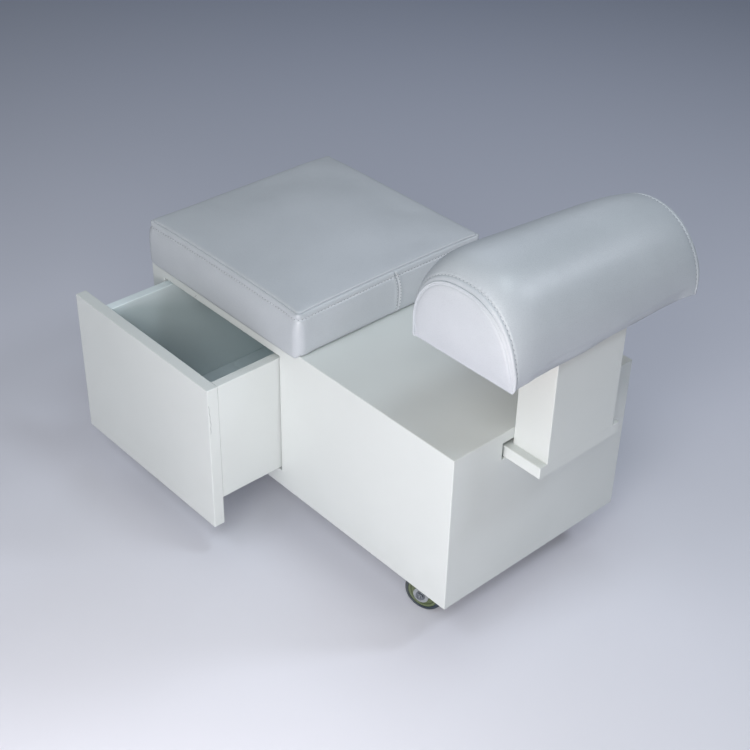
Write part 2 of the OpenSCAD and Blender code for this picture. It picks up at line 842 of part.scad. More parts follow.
// A bolt through the fork and the wheel, with a hexagon head and a nut
module caster_axle(i) {
    color("dimgray") at_caster(i) translate([-trail, -fork_outer_w / 2, wheel_r]) rotate([-90, 0, 0]) {
        translate([0, 0, -axle_head_h]) cylinder(h = axle_head_h, d = axle_head_d, $fn = 6);
        translate([0, 0, -axle_head_h]) rod(axle_head_h + fork_outer_w + axle_nut_h + axle_end_l, axle_d);
        translate([0, 0, fork_outer_w]) cylinder(h = axle_nut_h, d = axle_head_d, $fn = 6);
    }
}

// Turns a profile, drawn with its axis along Y, about the wheel's axle
module wheel_turned(i) {
    at_caster(i) translate([-trail, 0, wheel_r]) rotate([90, 0, 0])
        rotate_extrude($fn = 2 * round_fn) children();
}

// The wheel's core: a hub on the axle, a web and a rim
module caster_core(i) {
    hub_w = fork_inner_w - 2 * hub_side_gap;
    rim_w = wheel_w - 2 * core_rim_inset;
    color("olivedrab") wheel_turned(i) difference() {
        union() {
            translate([0, -hub_w / 2]) square([hub_r, hub_w]);
            translate([0, -core_web_t / 2]) square([core_r, core_web_t]);
            translate([core_r - core_rim_t, -rim_w / 2]) square([core_rim_t, rim_w]);
        }
        translate([0, -hub_w / 2 - overrun]) square([axle_d / 2 + pin_gap, hub_w + 2 * overrun]);
    }
}

// The tyre: a band round the core, its tread's edges rounded
module caster_tyre(i) {
    band_x = core_r + glue_gap;
    shoulder_x = wheel_r - tread_round_r;
    shoulder_y = wheel_w / 2 - tread_round_r;
    color("darkslategray") wheel_turned(i) intersection() {
        translate([band_x, -wheel_w / 2]) square([wheel_r - band_x, wheel_w]);
        union() {
            translate([0, -wheel_w / 2]) square([shoulder_x, wheel_w]);
            translate([0, -shoulder_y]) square([wheel_r, 2 * shoulder_y]);
            for (side = [-1, 1]) {
                translate([shoulder_x, side * shoulder_y]) circle(tread_round_r, $fn = round_fn);
            }
        }
    }
}

placed() side_panel_drawer();
placed() side_panel_plain();
placed() front_panel();
placed() rear_panel();
placed() top_board();
placed() bottom_board();
placed() partition();
placed() drawer_glides();
placed() drawer_guide();
placed() tongue_rail_near();
placed() tongue_rail_far();
placed() seat_board();
placed() seat_cushion();
placed() seat_screws();
placed() drawer_front();
placed() drawer_side_rear();
placed() drawer_side_front();
placed() drawer_back();
placed() drawer_bottom();
placed() drawer_dowels();
placed() drawer_stop_pegs();
placed() tongue_board();
placed() tongue_stop();
placed() post_front();
placed() post_back();
placed() post_side_near();
placed() post_side_far();
placed() post_cleats();
placed() post_screws();
placed() bolster_board();
placed() bolster_cushion();
placed() bolster_screws();
placed() caster_screws();
placed() caster_kingpins();
placed() caster_balls();
for (i = [0 : len(CASTERS) - 1]) {
    placed() caster_plate(i);
    placed() caster_fork(i);
    placed() caster_axle(i);
    placed() caster_core(i);
    placed() caster_tyre(i);
}
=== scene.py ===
# Pedicure footrest stool: a white lacquered box on casters, with a boxed leather seat, a drawer
# that stands open, and a half-round leather footrest on a post that slides out at the front.
# Shapes are worked out in millimetres in the bench frame of the joiner: X from the rear of the box
# to the footrest, Y from the drawer side to the far side, Z up from the floor.
from types import SimpleNamespace

import bpy
import numpy as np
from mathutils import Matrix, Vector
from mathutils.kdtree import KDTree


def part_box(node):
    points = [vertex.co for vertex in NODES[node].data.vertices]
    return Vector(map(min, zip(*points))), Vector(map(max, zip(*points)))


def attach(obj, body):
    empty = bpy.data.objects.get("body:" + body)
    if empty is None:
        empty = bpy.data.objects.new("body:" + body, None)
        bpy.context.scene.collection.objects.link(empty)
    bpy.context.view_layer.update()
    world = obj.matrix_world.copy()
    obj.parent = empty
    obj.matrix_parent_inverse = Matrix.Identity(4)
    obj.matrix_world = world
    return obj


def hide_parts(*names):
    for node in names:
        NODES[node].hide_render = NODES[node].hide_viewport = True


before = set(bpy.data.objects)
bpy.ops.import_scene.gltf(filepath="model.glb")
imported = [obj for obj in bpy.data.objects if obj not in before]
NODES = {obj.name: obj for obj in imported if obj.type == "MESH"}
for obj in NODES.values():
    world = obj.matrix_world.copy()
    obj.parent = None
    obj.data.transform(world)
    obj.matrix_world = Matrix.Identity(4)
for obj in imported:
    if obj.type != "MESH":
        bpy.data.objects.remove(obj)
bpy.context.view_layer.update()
PLACES = ["rear_near", "rear_far", "front_near", "front_far"]

# The bench frame starts at the rear corner of the box on the drawer side, on the floor
box_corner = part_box("side_panel_drawer")[0]
BENCH = np.array([box_corner.x, box_corner.y, 0.0])


def to_row(points):
    """Bench millimetres to the metres of the row frame."""
    return np.asarray(points, float) / 1000.0 + BENCH


def box_of(node):
    """The lowest and the highest corner of a node in bench millimetres."""
    return [np.round((np.array(corner) - BENCH) * 1000.0, 4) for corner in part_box(node)]


# Node helpers
def feed(tree, socket, value):
    """An input that is linked to another socket or set to a value."""
    if isinstance(value, bpy.types.NodeSocket):
        tree.links.new(value, socket)
    else:
        socket.default_value = value


def add(tree, kind, inputs=None, **settings):
    """A node with its settings and inputs."""
    node = tree.nodes.new(kind)
    for key, value in settings.items():
        setattr(node, key, value)
    for key, value in (inputs or {}).items():
        feed(tree, node.inputs[key], value)
    return node


def new_group(name, inputs, outputs):
    """A shader node group, the sockets of its inputs, which are labels with defaults, and those of
    its outputs, which are labels. Four numbers are a colour, three a vector, and one a value."""
    kinds = {4: "NodeSocketColor", 3: "NodeSocketVector", 1: "NodeSocketFloat"}
    tree = bpy.data.node_groups.new(name, "ShaderNodeTree")
    for label, default in inputs.items():
        kind = kinds[np.size(default)]
        tree.interface.new_socket(label, in_out="INPUT", socket_type=kind).default_value = default
    for label in outputs:
        kind = kinds[4 if label == "Color" else 1]
        tree.interface.new_socket(label, in_out="OUTPUT", socket_type=kind)
    return tree, add(tree, "NodeGroupInput").outputs, add(tree, "NodeGroupOutput").inputs


def use_group(tree, group, inputs):
    """The outputs of a group placed in a material, with its own values."""
    return add(tree, "ShaderNodeGroup", inputs, node_tree=group).outputs


def math_node(tree, operation, a, b=0.0, c=0.0):
    return add(tree, "ShaderNodeMath", {0: a, 1: b, 2: c}, operation=operation).outputs[0]


def tint(tree, factor, a, b):
    """Colour a turned towards colour b by a mask. The node's colour sockets have these numbers."""
    return add(tree, "ShaderNodeMix", {0: factor, 6: a, 7: b}, data_type="RGBA").outputs[2]


def spread(tree, value, low, high, to_low, to_high):
    """A value stretched from one range to another, and held at its ends."""
    return add(tree, "ShaderNodeMapRange", {"Value": value, "From Min": low, "From Max": high,
                                            "To Min": to_low, "To Max": to_high}).outputs[0]


def object_place(tree):
    """The Object coordinates of the piece."""
    return add(tree, "ShaderNodeTexCoord").outputs["Object"]


def vector_node(tree, operation, *values):
    return add(tree, "ShaderNodeVectorMath", dict(enumerate(values)), operation=operation).outputs[0]


def noise(tree, vector, scale, detail=2.0, roughness=0.5):
    return add(tree, "ShaderNodeTexNoise", {"Vector": vector, "Scale": scale, "Detail": detail,
                                            "Roughness": roughness}).outputs["Fac"]


def rgb(red, green, blue):
    """An sRGB shade, 0 to 255, as the linear colour that a shader takes."""
    shade = np.array([red, green, blue]) / 255.0
    linear = np.where(shade <= 0.04045, shade / 12.92, ((shade + 0.055) / 1.055) ** 2.4)
    return (*linear.tolist(), 1.0)


# Effects that several finishes share
PALE = (0.8, 0.8, 0.8, 1.0)
SURFACE = ["Color", "Roughness", "Height"]


def make_soiling():
    """Uneven soiling: broad clouds of noise, and more of it close to the floor."""
    tree, given, out = new_group("soiling", {"Color": PALE, "Soil": PALE, "Amount": 0.1}, ["Color"])
    place = object_place(tree)
    height = add(tree, "ShaderNodeSeparateXYZ", {0: place}).outputs["Z"]
    low = spread(tree, height, 0.0, 0.14, 1.0, 0.25)
    cloud = spread(tree, noise(tree, place, 7.0, 5.0, 0.62), 0.42, 0.78, 0.0, 1.0)
    speck = spread(tree, noise(tree, place, 160.0, 3.0, 0.6), 0.66, 0.74, 0.0, 0.6)
    mask = math_node(tree, "MULTIPLY", math_node(tree, "MAXIMUM", cloud, speck), low)
    mask = math_node(tree, "MULTIPLY", mask, given["Amount"])
    feed(tree, out["Color"], tint(tree, mask, given["Color"], given["Soil"]))
    return tree


def make_paint_film():
    """Rolled and sanded lacquer: a fine orange peel, long soft waves and a shade that drifts."""
    tree, given, out = new_group("paint_film", {"Color": PALE, "Drift": 0.03, "Gloss": 0.35}, SURFACE)
    place = object_place(tree)
    drift = spread(tree, noise(tree, place, 3.2, 3.0), 0.3, 0.7, 0.0, 1.0)
    amount = math_node(tree, "MULTIPLY", drift, given["Drift"])
    feed(tree, out["Color"], tint(tree, amount, given["Color"], rgb(150, 166, 168)))
    peel = noise(tree, place, 420.0, 2.0)
    wave = noise(tree, place, 28.0, 3.0)
    feed(tree, out["Height"], math_node(tree, "MULTIPLY_ADD", peel, 0.35, wave))
    patch = spread(tree, noise(tree, place, 12.0, 4.0), 0.3, 0.7, -0.05, 0.06)
    feed(tree, out["Roughness"], math_node(tree, "ADD", patch, given["Gloss"]))
    return tree


def make_leather_grain():
    """Leather: fine round pebbles, 1 - d^2 over cells, creases from noise, a shade that drifts, and
    valleys between the pebbles painted darker as painted shade.
    """
    tree, given, out = new_group("leather_grain", {"Color": PALE, "Gloss": 0.4}, SURFACE)
    place = object_place(tree)
    bend = add(tree, "ShaderNodeTexNoise", {"Vector": place, "Scale": 60.0, "Detail": 2.0})
    centred = vector_node(tree, "SUBTRACT", bend.outputs["Color"], (0.5, 0.5, 0.5))
    moved = vector_node(tree, "MULTIPLY_ADD", centred, (0.004, 0.004, 0.004), place)
    cells = add(tree, "ShaderNodeTexVoronoi", {"Vector": moved, "Scale": 900.0}, feature="F1")
    distance = cells.outputs["Distance"]
    pebble = math_node(tree, "SUBTRACT", 1.0, math_node(tree, "MULTIPLY", distance, distance))
    crease = noise(tree, place, 95.0, 4.0, 0.55)
    feed(tree, out["Height"], math_node(tree, "MULTIPLY_ADD", crease, 0.7, pebble))
    cloud = spread(tree, noise(tree, place, 9.0, 4.0, 0.6), 0.3, 0.75, 0.0, 0.12)
    # Painted shade: the valleys between the pebbles are painted darker.
    valley_shade = spread(tree, distance, 0.45, 0.8, 0.0, 0.08)
    dark = math_node(tree, "ADD", cloud, valley_shade)
    feed(tree, out["Color"], tint(tree, dark, given["Color"], rgb(120, 128, 138)))
    rough = math_node(tree, "MULTIPLY_ADD", noise(tree, place, 30.0, 3.0), 0.16, given["Gloss"])
    feed(tree, out["Roughness"], math_node(tree, "SUBTRACT", rough, 0.08))
    return tree


def make_wood_fibre():
    """Sawn timber and plywood faces: growth bands along one axis, with finer fibres over them."""
    tree, given, out = new_group(
        "wood_fibre", {"Light": PALE, "Dark": PALE, "Stretch": (6.0, 60.0, 60.0)}, ["Color", "Height"])
    pulled = vector_node(tree, "MULTIPLY", object_place(tree), given["Stretch"])
    bands = noise(tree, pulled, 1.0, 4.0, 0.55)
    fibres = noise(tree, pulled, 9.0, 3.0, 0.6)
    mixed = math_node(tree, "MULTIPLY_ADD", fibres, 0.4, bands)
    mask = spread(tree, mixed, 0.45, 0.95, 0.0, 1.0)
    feed(tree, out["Color"], tint(tree, mask, given["Light"], given["Dark"]))
    feed(tree, out["Height"], fibres)
    return tree


def make_worked_metal():
    """Plated or turned metal: fine streaks, a cloudy plating and duller handled patches."""
    tree, given, out = new_group(
        "worked_metal", {"Color": PALE, "Tarnish": PALE, "Gloss": 0.35}, SURFACE)
    place = object_place(tree)
    streak = noise(tree, vector_node(tree, "MULTIPLY", place, (900.0, 900.0, 90.0)), 1.0, 2.0)
    cloud = spread(tree, noise(tree, place, 90.0, 4.0, 0.6), 0.35, 0.75, 0.0, 0.7)
    feed(tree, out["Color"], tint(tree, cloud, given["Color"], given["Tarnish"]))
    rough = math_node(tree, "MULTIPLY_ADD", cloud, 0.2, given["Gloss"])
    feed(tree, out["Roughness"], math_node(tree, "MULTIPLY_ADD", streak, 0.08, rough))
    feed(tree, out["Height"], streak)
    return tree


SOILING = make_soiling()
PAINT_FILM = make_paint_film()
LEATHER_GRAIN = make_leather_grain()
WOOD_FIBRE = make_wood_fibre()
WORKED_METAL = make_worked_metal()


# Finishes
def finish_tree(name):
    """A new finish: its material, node tree and shader."""
    material = bpy.data.materials.new(name)
    material.use_nodes = True
    tree = material.node_tree
    return material, tree, tree.nodes["Principled BSDF"]


def wire(tree, shader, colour, roughness, height, strength, distance):
    """Colour, roughness and a bump led into the shader."""
    bump = add(tree, "ShaderNodeBump", {"Height": height, "Strength": strength, "Distance": distance})
    feed(tree, shader.inputs["Base Color"], colour)
    feed(tree, shader.inputs["Roughness"], roughness)
    feed(tree, shader.inputs["Normal"], bump.outputs["Normal"])


def soiled(tree, colour, soil, amount):
    """The colour with soiling over it."""
    return use_group(tree, SOILING, {"Color": colour, "Soil": soil, "Amount": amount})["Color"]


def lacquer(name, shade, soil=0.12, gloss=0.34):
    """White cabinet lacquer over board."""
    material, tree, shader = finish_tree(name)
    film = use_group(tree, PAINT_FILM, {"Color": shade, "Drift": 0.1, "Gloss": gloss})
    colour = soiled(tree, film["Color"], rgb(150, 150, 143), soil)
    wire(tree, shader, colour, film["Roughness"], film["Height"], 0.12, 0.0006)
    return material


def leather(name, shade, gloss):
    """Upholstery leather with a soft sheen."""
    material, tree, shader = finish_tree(name)
    grain = use_group(tree, LEATHER_GRAIN, {"Color": shade, "Gloss": gloss})
    colour = soiled(tree, grain["Color"], rgb(140, 140, 138), 0.08)
    wire(tree, shader, colour, grain["Roughness"], grain["Height"], 0.3, 0.0004)
    shader.inputs["Specular IOR Level"].default_value = 0.8
    return material


def timber(name, light, dark, stretch):
    """Bare sawn wood or plywood."""
    material, tree, shader = finish_tree(name)
    wood = use_group(tree, WOOD_FIBRE, {"Light": light, "Dark": dark, "Stretch": stretch})
    wire(tree, shader, wood["Color"], 0.68, wood["Height"], 0.3, 0.0004)
    return material


def metal(name, shade, tarnish, gloss):
    """Plated or bare steel."""
    material, tree, shader = finish_tree(name)
    worked = use_group(tree, WORKED_METAL, {"Color": shade, "Tarnish": tarnish, "Gloss": gloss})
    wire(tree, shader, worked["Color"], worked["Roughness"], worked["Height"], 0.15, 0.0001)
    shader.inputs["Metallic"].default_value = 0.9
    return material


def moulded(name, shade, worn, gloss, speckle=220.0):
    """Moulded nylon, hard plastic or rubber: a fine skin texture and paler rubbed patches."""
    material, tree, shader = finish_tree(name)
    place = object_place(tree)
    rub = spread(tree, noise(tree, place, speckle, 5.0, 0.7), 0.5, 0.8, 0.0, 0.6)
    colour = soiled(tree, tint(tree, rub, shade, worn), rgb(120, 118, 110), 0.35)
    rough = spread(tree, rub, 0.0, 0.6, gloss, gloss + 0.2)
    wire(tree, shader, colour, rough, noise(tree, place, 900.0, 2.0), 0.2, 0.0002)
    return material


LACQUER = lacquer("white_lacquer", rgb(213, 218, 217))
# Lighter, cooler copies of the white lacquer for the drawer's inside boards and floor: painted light
# that brightens the shade inside the drawer.
LIGHTER_INSIDE_LACQUER = lacquer("drawer_inside_lacquer_painted_lighter", rgb(225, 237, 241), 0.2, 0.36)
LIGHTER_DRAWER_FLOOR = lacquer("drawer_floor_board_painted_lighter", rgb(215, 228, 233), 0.3, 0.28)
LEATHER = leather("white_leather", rgb(189, 195, 201), 0.37)
# A lighter copy of the white leather for the footrest's end panels and soft strip: painted light.
LIGHTER_PANEL_LEATHER = leather("end_panel_leather_painted_lighter", rgb(194, 199, 205), 0.46)
THREAD = moulded("sewing_thread", rgb(208, 212, 216), rgb(186, 190, 194), 0.6, 2200.0)
# The dark beads between stitches are the painted shade of the stitch holes, and so are the paler ones on
# the footrest.
STITCH_HOLE_SHADE = moulded("stitch_hole_shade", rgb(118, 123, 132), rgb(136, 140, 148), 0.8, 2200.0)
JOINT_SHADE = moulded("open_joint", rgb(120, 126, 130), rgb(140, 144, 148), 0.8, 1500.0)
PALE_HOLE_SHADE = moulded("pale_stitch_hole_shade", rgb(146, 151, 159), rgb(158, 162, 170), 0.8, 2200.0)
BARE_WOOD = timber("bare_wood", rgb(198, 168, 122), rgb(160, 122, 78), (5.0, 70.0, 70.0))
BIRCH_PLY = timber("birch_plywood", rgb(214, 190, 148), rgb(182, 148, 102), (12.0, 5.0, 320.0))
BEECH = timber("beech_dowels", rgb(212, 172, 128), rgb(182, 134, 92), (80.0, 10.0, 80.0))
ZINC = metal("zinc_plate", rgb(200, 204, 206), rgb(150, 154, 158), 0.3)
DARK_STEEL = metal("blackened_steel", rgb(92, 94, 100), rgb(52, 54, 60), 0.36)
BOLT_STEEL = metal("bolt_steel", rgb(150, 156, 162), rgb(84, 90, 98), 0.32)
BALL_STEEL = metal("polished_balls", rgb(206, 210, 214), rgb(184, 188, 194), 0.12)
NYLON = moulded("nylon_strip", rgb(226, 226, 220), rgb(198, 198, 190), 0.5)
WHEEL_DISC = moulded("olive_wheel_disc", rgb(90, 104, 72), rgb(116, 128, 98), 0.42)
TYRE = moulded("dark_tyre", rgb(36, 50, 62), rgb(62, 76, 88), 0.36)


# Mesh helpers
def outward(points, faces):
    """Faces turned so that the closed shell they make has a positive volume."""
    volume = 0.0
    for block in faces:
        for k in range(1, block.shape[1] - 1):
            a, b, c = points[block[:, 0]], points[block[:, k]], points[block[:, k + 1]]
            volume += np.einsum("ij,ij->", a, np.cross(b, c))
    return faces if volume > 0 else [block[:, ::-1] for block in faces]


def shell_mesh(name, points, faces, smooth=True):
    """A mesh from an array of bench points and arrays of faces, which are turned outward."""
    faces = outward(points - points.mean(axis=0), faces)
    mesh = bpy.data.meshes.new(name)
    mesh.vertices.add(len(points))
    mesh.vertices.foreach_set("co", to_row(points).astype(np.float32).ravel())
    corners = np.concatenate([block.ravel() for block in faces]).astype(np.int32)
    sizes = np.concatenate([np.full(len(block), block.shape[1]) for block in faces])
    mesh.loops.add(len(corners))
    mesh.loops.foreach_set("vertex_index", corners)
    mesh.polygons.add(len(sizes))
    starts = np.concatenate([[0], np.cumsum(sizes)[:-1]]).astype(np.int32)
    mesh.polygons.foreach_set("loop_start", starts)
    mesh.polygons.foreach_set("use_smooth", np.full(len(sizes), smooth))
    mesh.update(calc_edges=True)
    mesh.validate()
    return mesh


def surface(name, points, faces, finish, slot, body, smooth=True):
    """A mesh object from an array of bench points and arrays of faces, with its finish and body."""
    mesh = shell_mesh(name, points, faces, smooth)
    mesh.materials.append(finish)
    piece = bpy.data.objects.new(name, mesh)
    bpy.context.scene.collection.objects.link(piece)
    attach(piece, body)
    return piece


def sheet_faces(rows, columns, wrap_rows=False, wrap_columns=False):
    """Four-sided faces over a grid of points that are numbered row by row."""
    i = np.arange(rows if wrap_rows else rows - 1)[:, None]
    j = np.arange(columns if wrap_columns else columns - 1)[None, :]
    below, beside = (i + 1) % rows, (j + 1) % columns
    return np.stack([i * columns + j, i * columns + beside, below * columns + beside,
                     below * columns + j], axis=-1).reshape(-1, 4)


def cap_faces(ring_start, count, pole, flip=False):
    """Triangles from a closed ring of points to its pole."""
    i = np.arange(count)
    fan = np.stack([ring_start + i, ring_start + (i + 1) % count, np.full(count, pole)], axis=-1)
    return fan[:, ::-1] if flip else fan


def capped_rings(rings):
    """A closed skin over rings of points (rings, around, 3): the points and their faces."""
    count, around, _ = rings.shape
    poles = np.stack([rings[0].mean(axis=0), rings[-1].mean(axis=0)])
    points = np.concatenate([rings.reshape(-1, 3), poles])
    low = count * around
    return points, [sheet_faces(count, around, wrap_columns=True),
                    np.concatenate([cap_faces(0, around, low, flip=True),
                                    cap_faces((count - 1) * around, around, low + 1)])]


def grid_normals(grid):
    """Unit normals of a grid (rows, around, 3) that closes round its columns: the cross product of
    its central differences."""
    down = np.gradient(grid, axis=0)
    across = np.roll(grid, -1, axis=1) - np.roll(grid, 1, axis=1)
    normal = np.cross(across, down)
    return normal / np.maximum(np.linalg.norm(normal, axis=-1, keepdims=True), 1e-9)


def hump(x, middle, width):
    """A smooth bell: exp(-((x - middle) / width)^2)."""
    return np.exp(-((x - middle) / width) ** 2)


def ease(x, start, end):
    """From 0 at start to 1 at end, with no corner: t^2 (3 - 2t)."""
    t = np.clip((x - start) / (end - start), 0.0, 1.0)
    return t * t * (3.0 - 2.0 * t)


# Cloth: the coarse copy's grid and the blend in metres, the pressure, the frames, how many cloth
# points a point follows, and the most that it moves in millimetres
CLOTH_VOXEL, CLOTH_PRESSURE, CLOTH_FRAMES = 0.006, 4.0, 20
CLOTH_NEAREST, CLOTH_BLEND, CLOTH_CAP = 30, 0.010, 3.0
# For each cushion, the height that is held over its foot and the share of the move that it follows
SEAT_CLOTH, REST_CLOTH = (12.0, 0.075), (14.0, 0.5)


def vertex_array(mesh):
    """The places of a mesh's vertices."""
    places = np.empty(3 * len(mesh.vertices), np.float32)
    mesh.vertices.foreach_get("co", places)
    return places.reshape(-1, 3).astype(float)


def blown_up(rings, held_height, followed):
    """The rings of a cushion after its cover is blown up as cloth. A coarse copy of the cover, held
    up to a height over its foot, takes a pressure without gravity. Then every point of the rings
    follows the CLOTH_NEAREST cloth points nearest to it, weighted by exp(-(gap / CLOTH_BLEND)^2), by
    a share of their move, and at most by CLOTH_CAP millimetres."""
    scene = bpy.context.scene
    thinned = shell_mesh("cover_cloth", *capped_rings(rings[::2, ::2]))
    cover = bpy.data.objects.new("cover_cloth", thinned)
    scene.collection.objects.link(cover)
    remesh = cover.modifiers.new("remesh", "REMESH")
    remesh.mode, remesh.voxel_size = "VOXEL", CLOTH_VOXEL
    remeshed = cover.evaluated_get(bpy.context.evaluated_depsgraph_get())
    coarse = bpy.data.meshes.new_from_object(remeshed)
    cover.modifiers.clear()
    cover.data = coarse
    start = vertex_array(coarse)
    held = cover.vertex_groups.new(name="held")
    low = start[:, 2] < start[:, 2].min() + held_height / 1000
    held.add(np.flatnonzero(low).tolist(), 1.0, "REPLACE")
    cloth = cover.modifiers.new("cloth", "CLOTH")
    cloth.settings.use_pressure = True
    cloth.settings.uniform_pressure_force = CLOTH_PRESSURE
    cloth.settings.effector_weights.gravity = 0.0
    cloth.settings.vertex_group_mass = "held"
    cloth.point_cache.frame_start, cloth.point_cache.frame_end = 1, CLOTH_FRAMES
    for moment in range(1, CLOTH_FRAMES + 1):
        scene.frame_set(moment)
    moved = vertex_array(cover.evaluated_get(bpy.context.evaluated_depsgraph_get()).data) - start
    bpy.data.objects.remove(cover)
    scene.frame_set(1)
    tree = KDTree(len(start))
    for k, place in enumerate(start):
        tree.insert(place, k)
    tree.balance()
    found = np.array([[(k, gap) for _, k, gap in tree.find_n(place, CLOTH_NEAREST)]
                      for place in to_row(rings).reshape(-1, 3)])
    weight = np.exp(-(found[..., 1] / CLOTH_BLEND) ** 2) + 1e-9
    move = 1000 * followed * (moved[found[..., 0].astype(int)] * weight[..., None]).sum(axis=1)
    move /= weight.sum(axis=1)[:, None]
    reach = np.linalg.norm(move, axis=1, keepdims=True)
    move *= np.minimum(1, CLOTH_CAP / np.maximum(reach, 1e-9))
    return rings + move.reshape(rings.shape)


# Boards
EASED_R = 1.2
REAR_STILE, TOP_RAIL_H, RABBET_W, OVERRUN = 31.0, 22.0, 7.0, 1.0
SLOT_SIDE_GAP, SLOT_FLOOR_GAP = 6.0, 0.3


def board_cells(low, high, cuts, joined):
    """The skin of a block from low to high less its cut-outs, in whole cells between all their
    planes: its points, its faces, and for each face its axis (1 to 3), or 0 on a joined side."""
    planes = [np.unique(np.clip([low[k], high[k]] + [cut[s][k] for cut in cuts for s in (0, 1)],
                                low[k], high[k])) for k in range(3)]
    middles = np.meshgrid(*[(p[1:] + p[:-1]) / 2 for p in planes], indexing="ij")
    full = np.ones(middles[0].shape, bool)
    for cut_low, cut_high in cuts:
        full &= ~np.all([(m > a) & (m < b) for m, a, b in zip(middles, cut_low, cut_high)], axis=0)
    shape = [len(p) for p in planes]
    faces, sides = [], []
    for k in range(3):
        others = [a for a in range(3) if a != k]
        padded = np.pad(full, [(1, 1) if a == k else (0, 0) for a in range(3)])
        change = np.diff(padded.astype(int), axis=k)
        for way in (-1, 1):
            cells = np.argwhere(change == -way)
            corners = np.repeat(cells[:, None, :], 4, axis=1)
            corners[:, [1, 2], others[0]] += 1
            corners[:, [2, 3], others[1]] += 1
            turned_out = corners if (way > 0) == (k != 1) else corners[:, ::-1]
            faces.append(np.ravel_multi_index(tuple(np.moveaxis(turned_out, -1, 0)), shape))
            at_end = cells[:, k] == (shape[k] - 1 if way > 0 else 0)
            met = ("xyz"[k] + ("+" if way > 0 else "-")) in joined
            sides.append(np.where(at_end & met, 0, 1 + k))
    used, faces = np.unique(np.concatenate(faces), return_inverse=True)
    grid = np.stack(np.meshgrid(*planes, indexing="ij"), axis=-1).reshape(-1, 3)[used]
    return grid, faces.reshape(-1, 4), np.concatenate(sides)


def ease_edges(piece, faces, sides):
    """A rounding bevel on each edge between two open faces of different axes."""
    mesh = piece.data
    ends = np.zeros(len(mesh.edges) * 2, np.int32)
    mesh.edges.foreach_get("vertices", ends)
    ends = np.sort(ends.reshape(-1, 2), axis=1)
    touched = np.zeros((len(ends), 4), bool)
    key = ends[:, 0] * len(mesh.vertices) + ends[:, 1]
    order = np.argsort(key)
    for k in range(4):
        pair = np.sort(np.stack([faces[:, k], faces[:, (k + 1) % 4]], axis=1), axis=1)
        wanted = pair[:, 0] * len(mesh.vertices) + pair[:, 1]
        touched[order[np.searchsorted(key[order], wanted)], sides] = True
    eased = ~touched[:, 0] & (touched[:, 1:].sum(axis=1) == 2)
    weights = mesh.attributes.new("bevel_weight_edge", "FLOAT", "EDGE")
    weights.data.foreach_set("value", eased.astype(np.float32))
    bevel = piece.modifiers.new("eased_edges", "BEVEL")
    bevel.limit_method, bevel.width, bevel.segments = "WEIGHT", EASED_R / 1000.0, 3
    bevel.use_clamp_overlap = True


def board(name, body, node, joined, cuts=(), finish=LACQUER):
    """A board with eased edges in the place of a node, less its cut-outs. joined names the sides,
    such as "x- z+", that meet a neighbour and stay sharp."""
    grid, faces, sides = board_cells(*box_of(node), cuts, joined)
    piece = surface(name, grid, [faces], finish, "white_lacquer", body, smooth=False)
    ease_edges(piece, faces, sides)
    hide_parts(node)


def make_boards():
    """The boards that show, with the drawer's opening in one side of the box, the tongue's slot in
    its front, and the rabbets for the drawer's bottom."""
    low, high = box_of("side_panel_drawer")
    inner = box_of("partition")[0]
    opening = ((low[0] + REAR_STILE, low[1] - OVERRUN, inner[2]),
               (inner[0], high[1] + OVERRUN, high[2] - TOP_RAIL_H))
    low, high = box_of("front_panel")
    tongue_low, tongue_high = box_of("tongue_board")
    slot = ((low[0] - OVERRUN, tongue_low[1] - SLOT_SIDE_GAP, tongue_low[2] - SLOT_FLOOR_GAP),
            (high[0] + OVERRUN, tongue_high[1] + SLOT_SIDE_GAP, box_of("top_board")[0][2]))
    # A rabbet is as high as the underside of the drawer's back
    low, high = box_of("drawer_side_rear")
    top_z = box_of("drawer_back")[0][2]
    rear_rabbet = ((high[0] - RABBET_W, *low[1:] - OVERRUN), (*high[:2] + OVERRUN, top_z))
    low, high = box_of("drawer_side_front")
    front_rabbet = (low - OVERRUN, (low[0] + RABBET_W, high[1] + OVERRUN, top_z))
    board("drawer_side_of_box", "base", "side_panel_drawer", "y+", [opening])
    board("plain_side_of_box", "base", "side_panel_plain", "y-")
    board("slotted_front_of_box", "base", "front_panel", "y- y+ x-", [slot])
    board("rear_of_box", "base", "rear_panel", "y- y+ x+")
    board("deck_of_box", "base", "top_board", "x- x+ y- y+")
    board("front_of_drawer", "drawer", "drawer_front", "")
    board("rear_side_of_drawer", "drawer", "drawer_side_rear", "y-", [rear_rabbet], LIGHTER_INSIDE_LACQUER)
    board("front_side_of_drawer", "drawer", "drawer_side_front", "y-", [front_rabbet])
    board("back_of_drawer", "drawer", "drawer_back", "x- x+", finish=LIGHTER_INSIDE_LACQUER)
    board("front_of_post", "footrest", "post_front", "x- z- z+")
    board("back_of_post", "footrest", "post_back", "x+ z- z+")
    board("near_side_of_post", "footrest", "post_side_near", "x- x+ y+ z- z+")
    board("far_side_of_post", "footrest", "post_side_far", "x- x+ y- z- z+")


make_boards()


# Stitches, each a bead of a few rings of points, with a dark bead between threads that is the
# painted shade of the stitch hole. A thread and a hole have a half length as a share of the pitch,
# a half width, a half height, and a lift off the leather.
STITCH_PITCH, JOINT_PITCH, BEAD_RINGS, BEAD_AROUND = 6.0, 5.0, 4, 6
THREAD_SIZE, HOLE_SIZE = (0.33, 0.55, 0.5, 0.25), (0.14, 0.6, 0.3, 0.05)


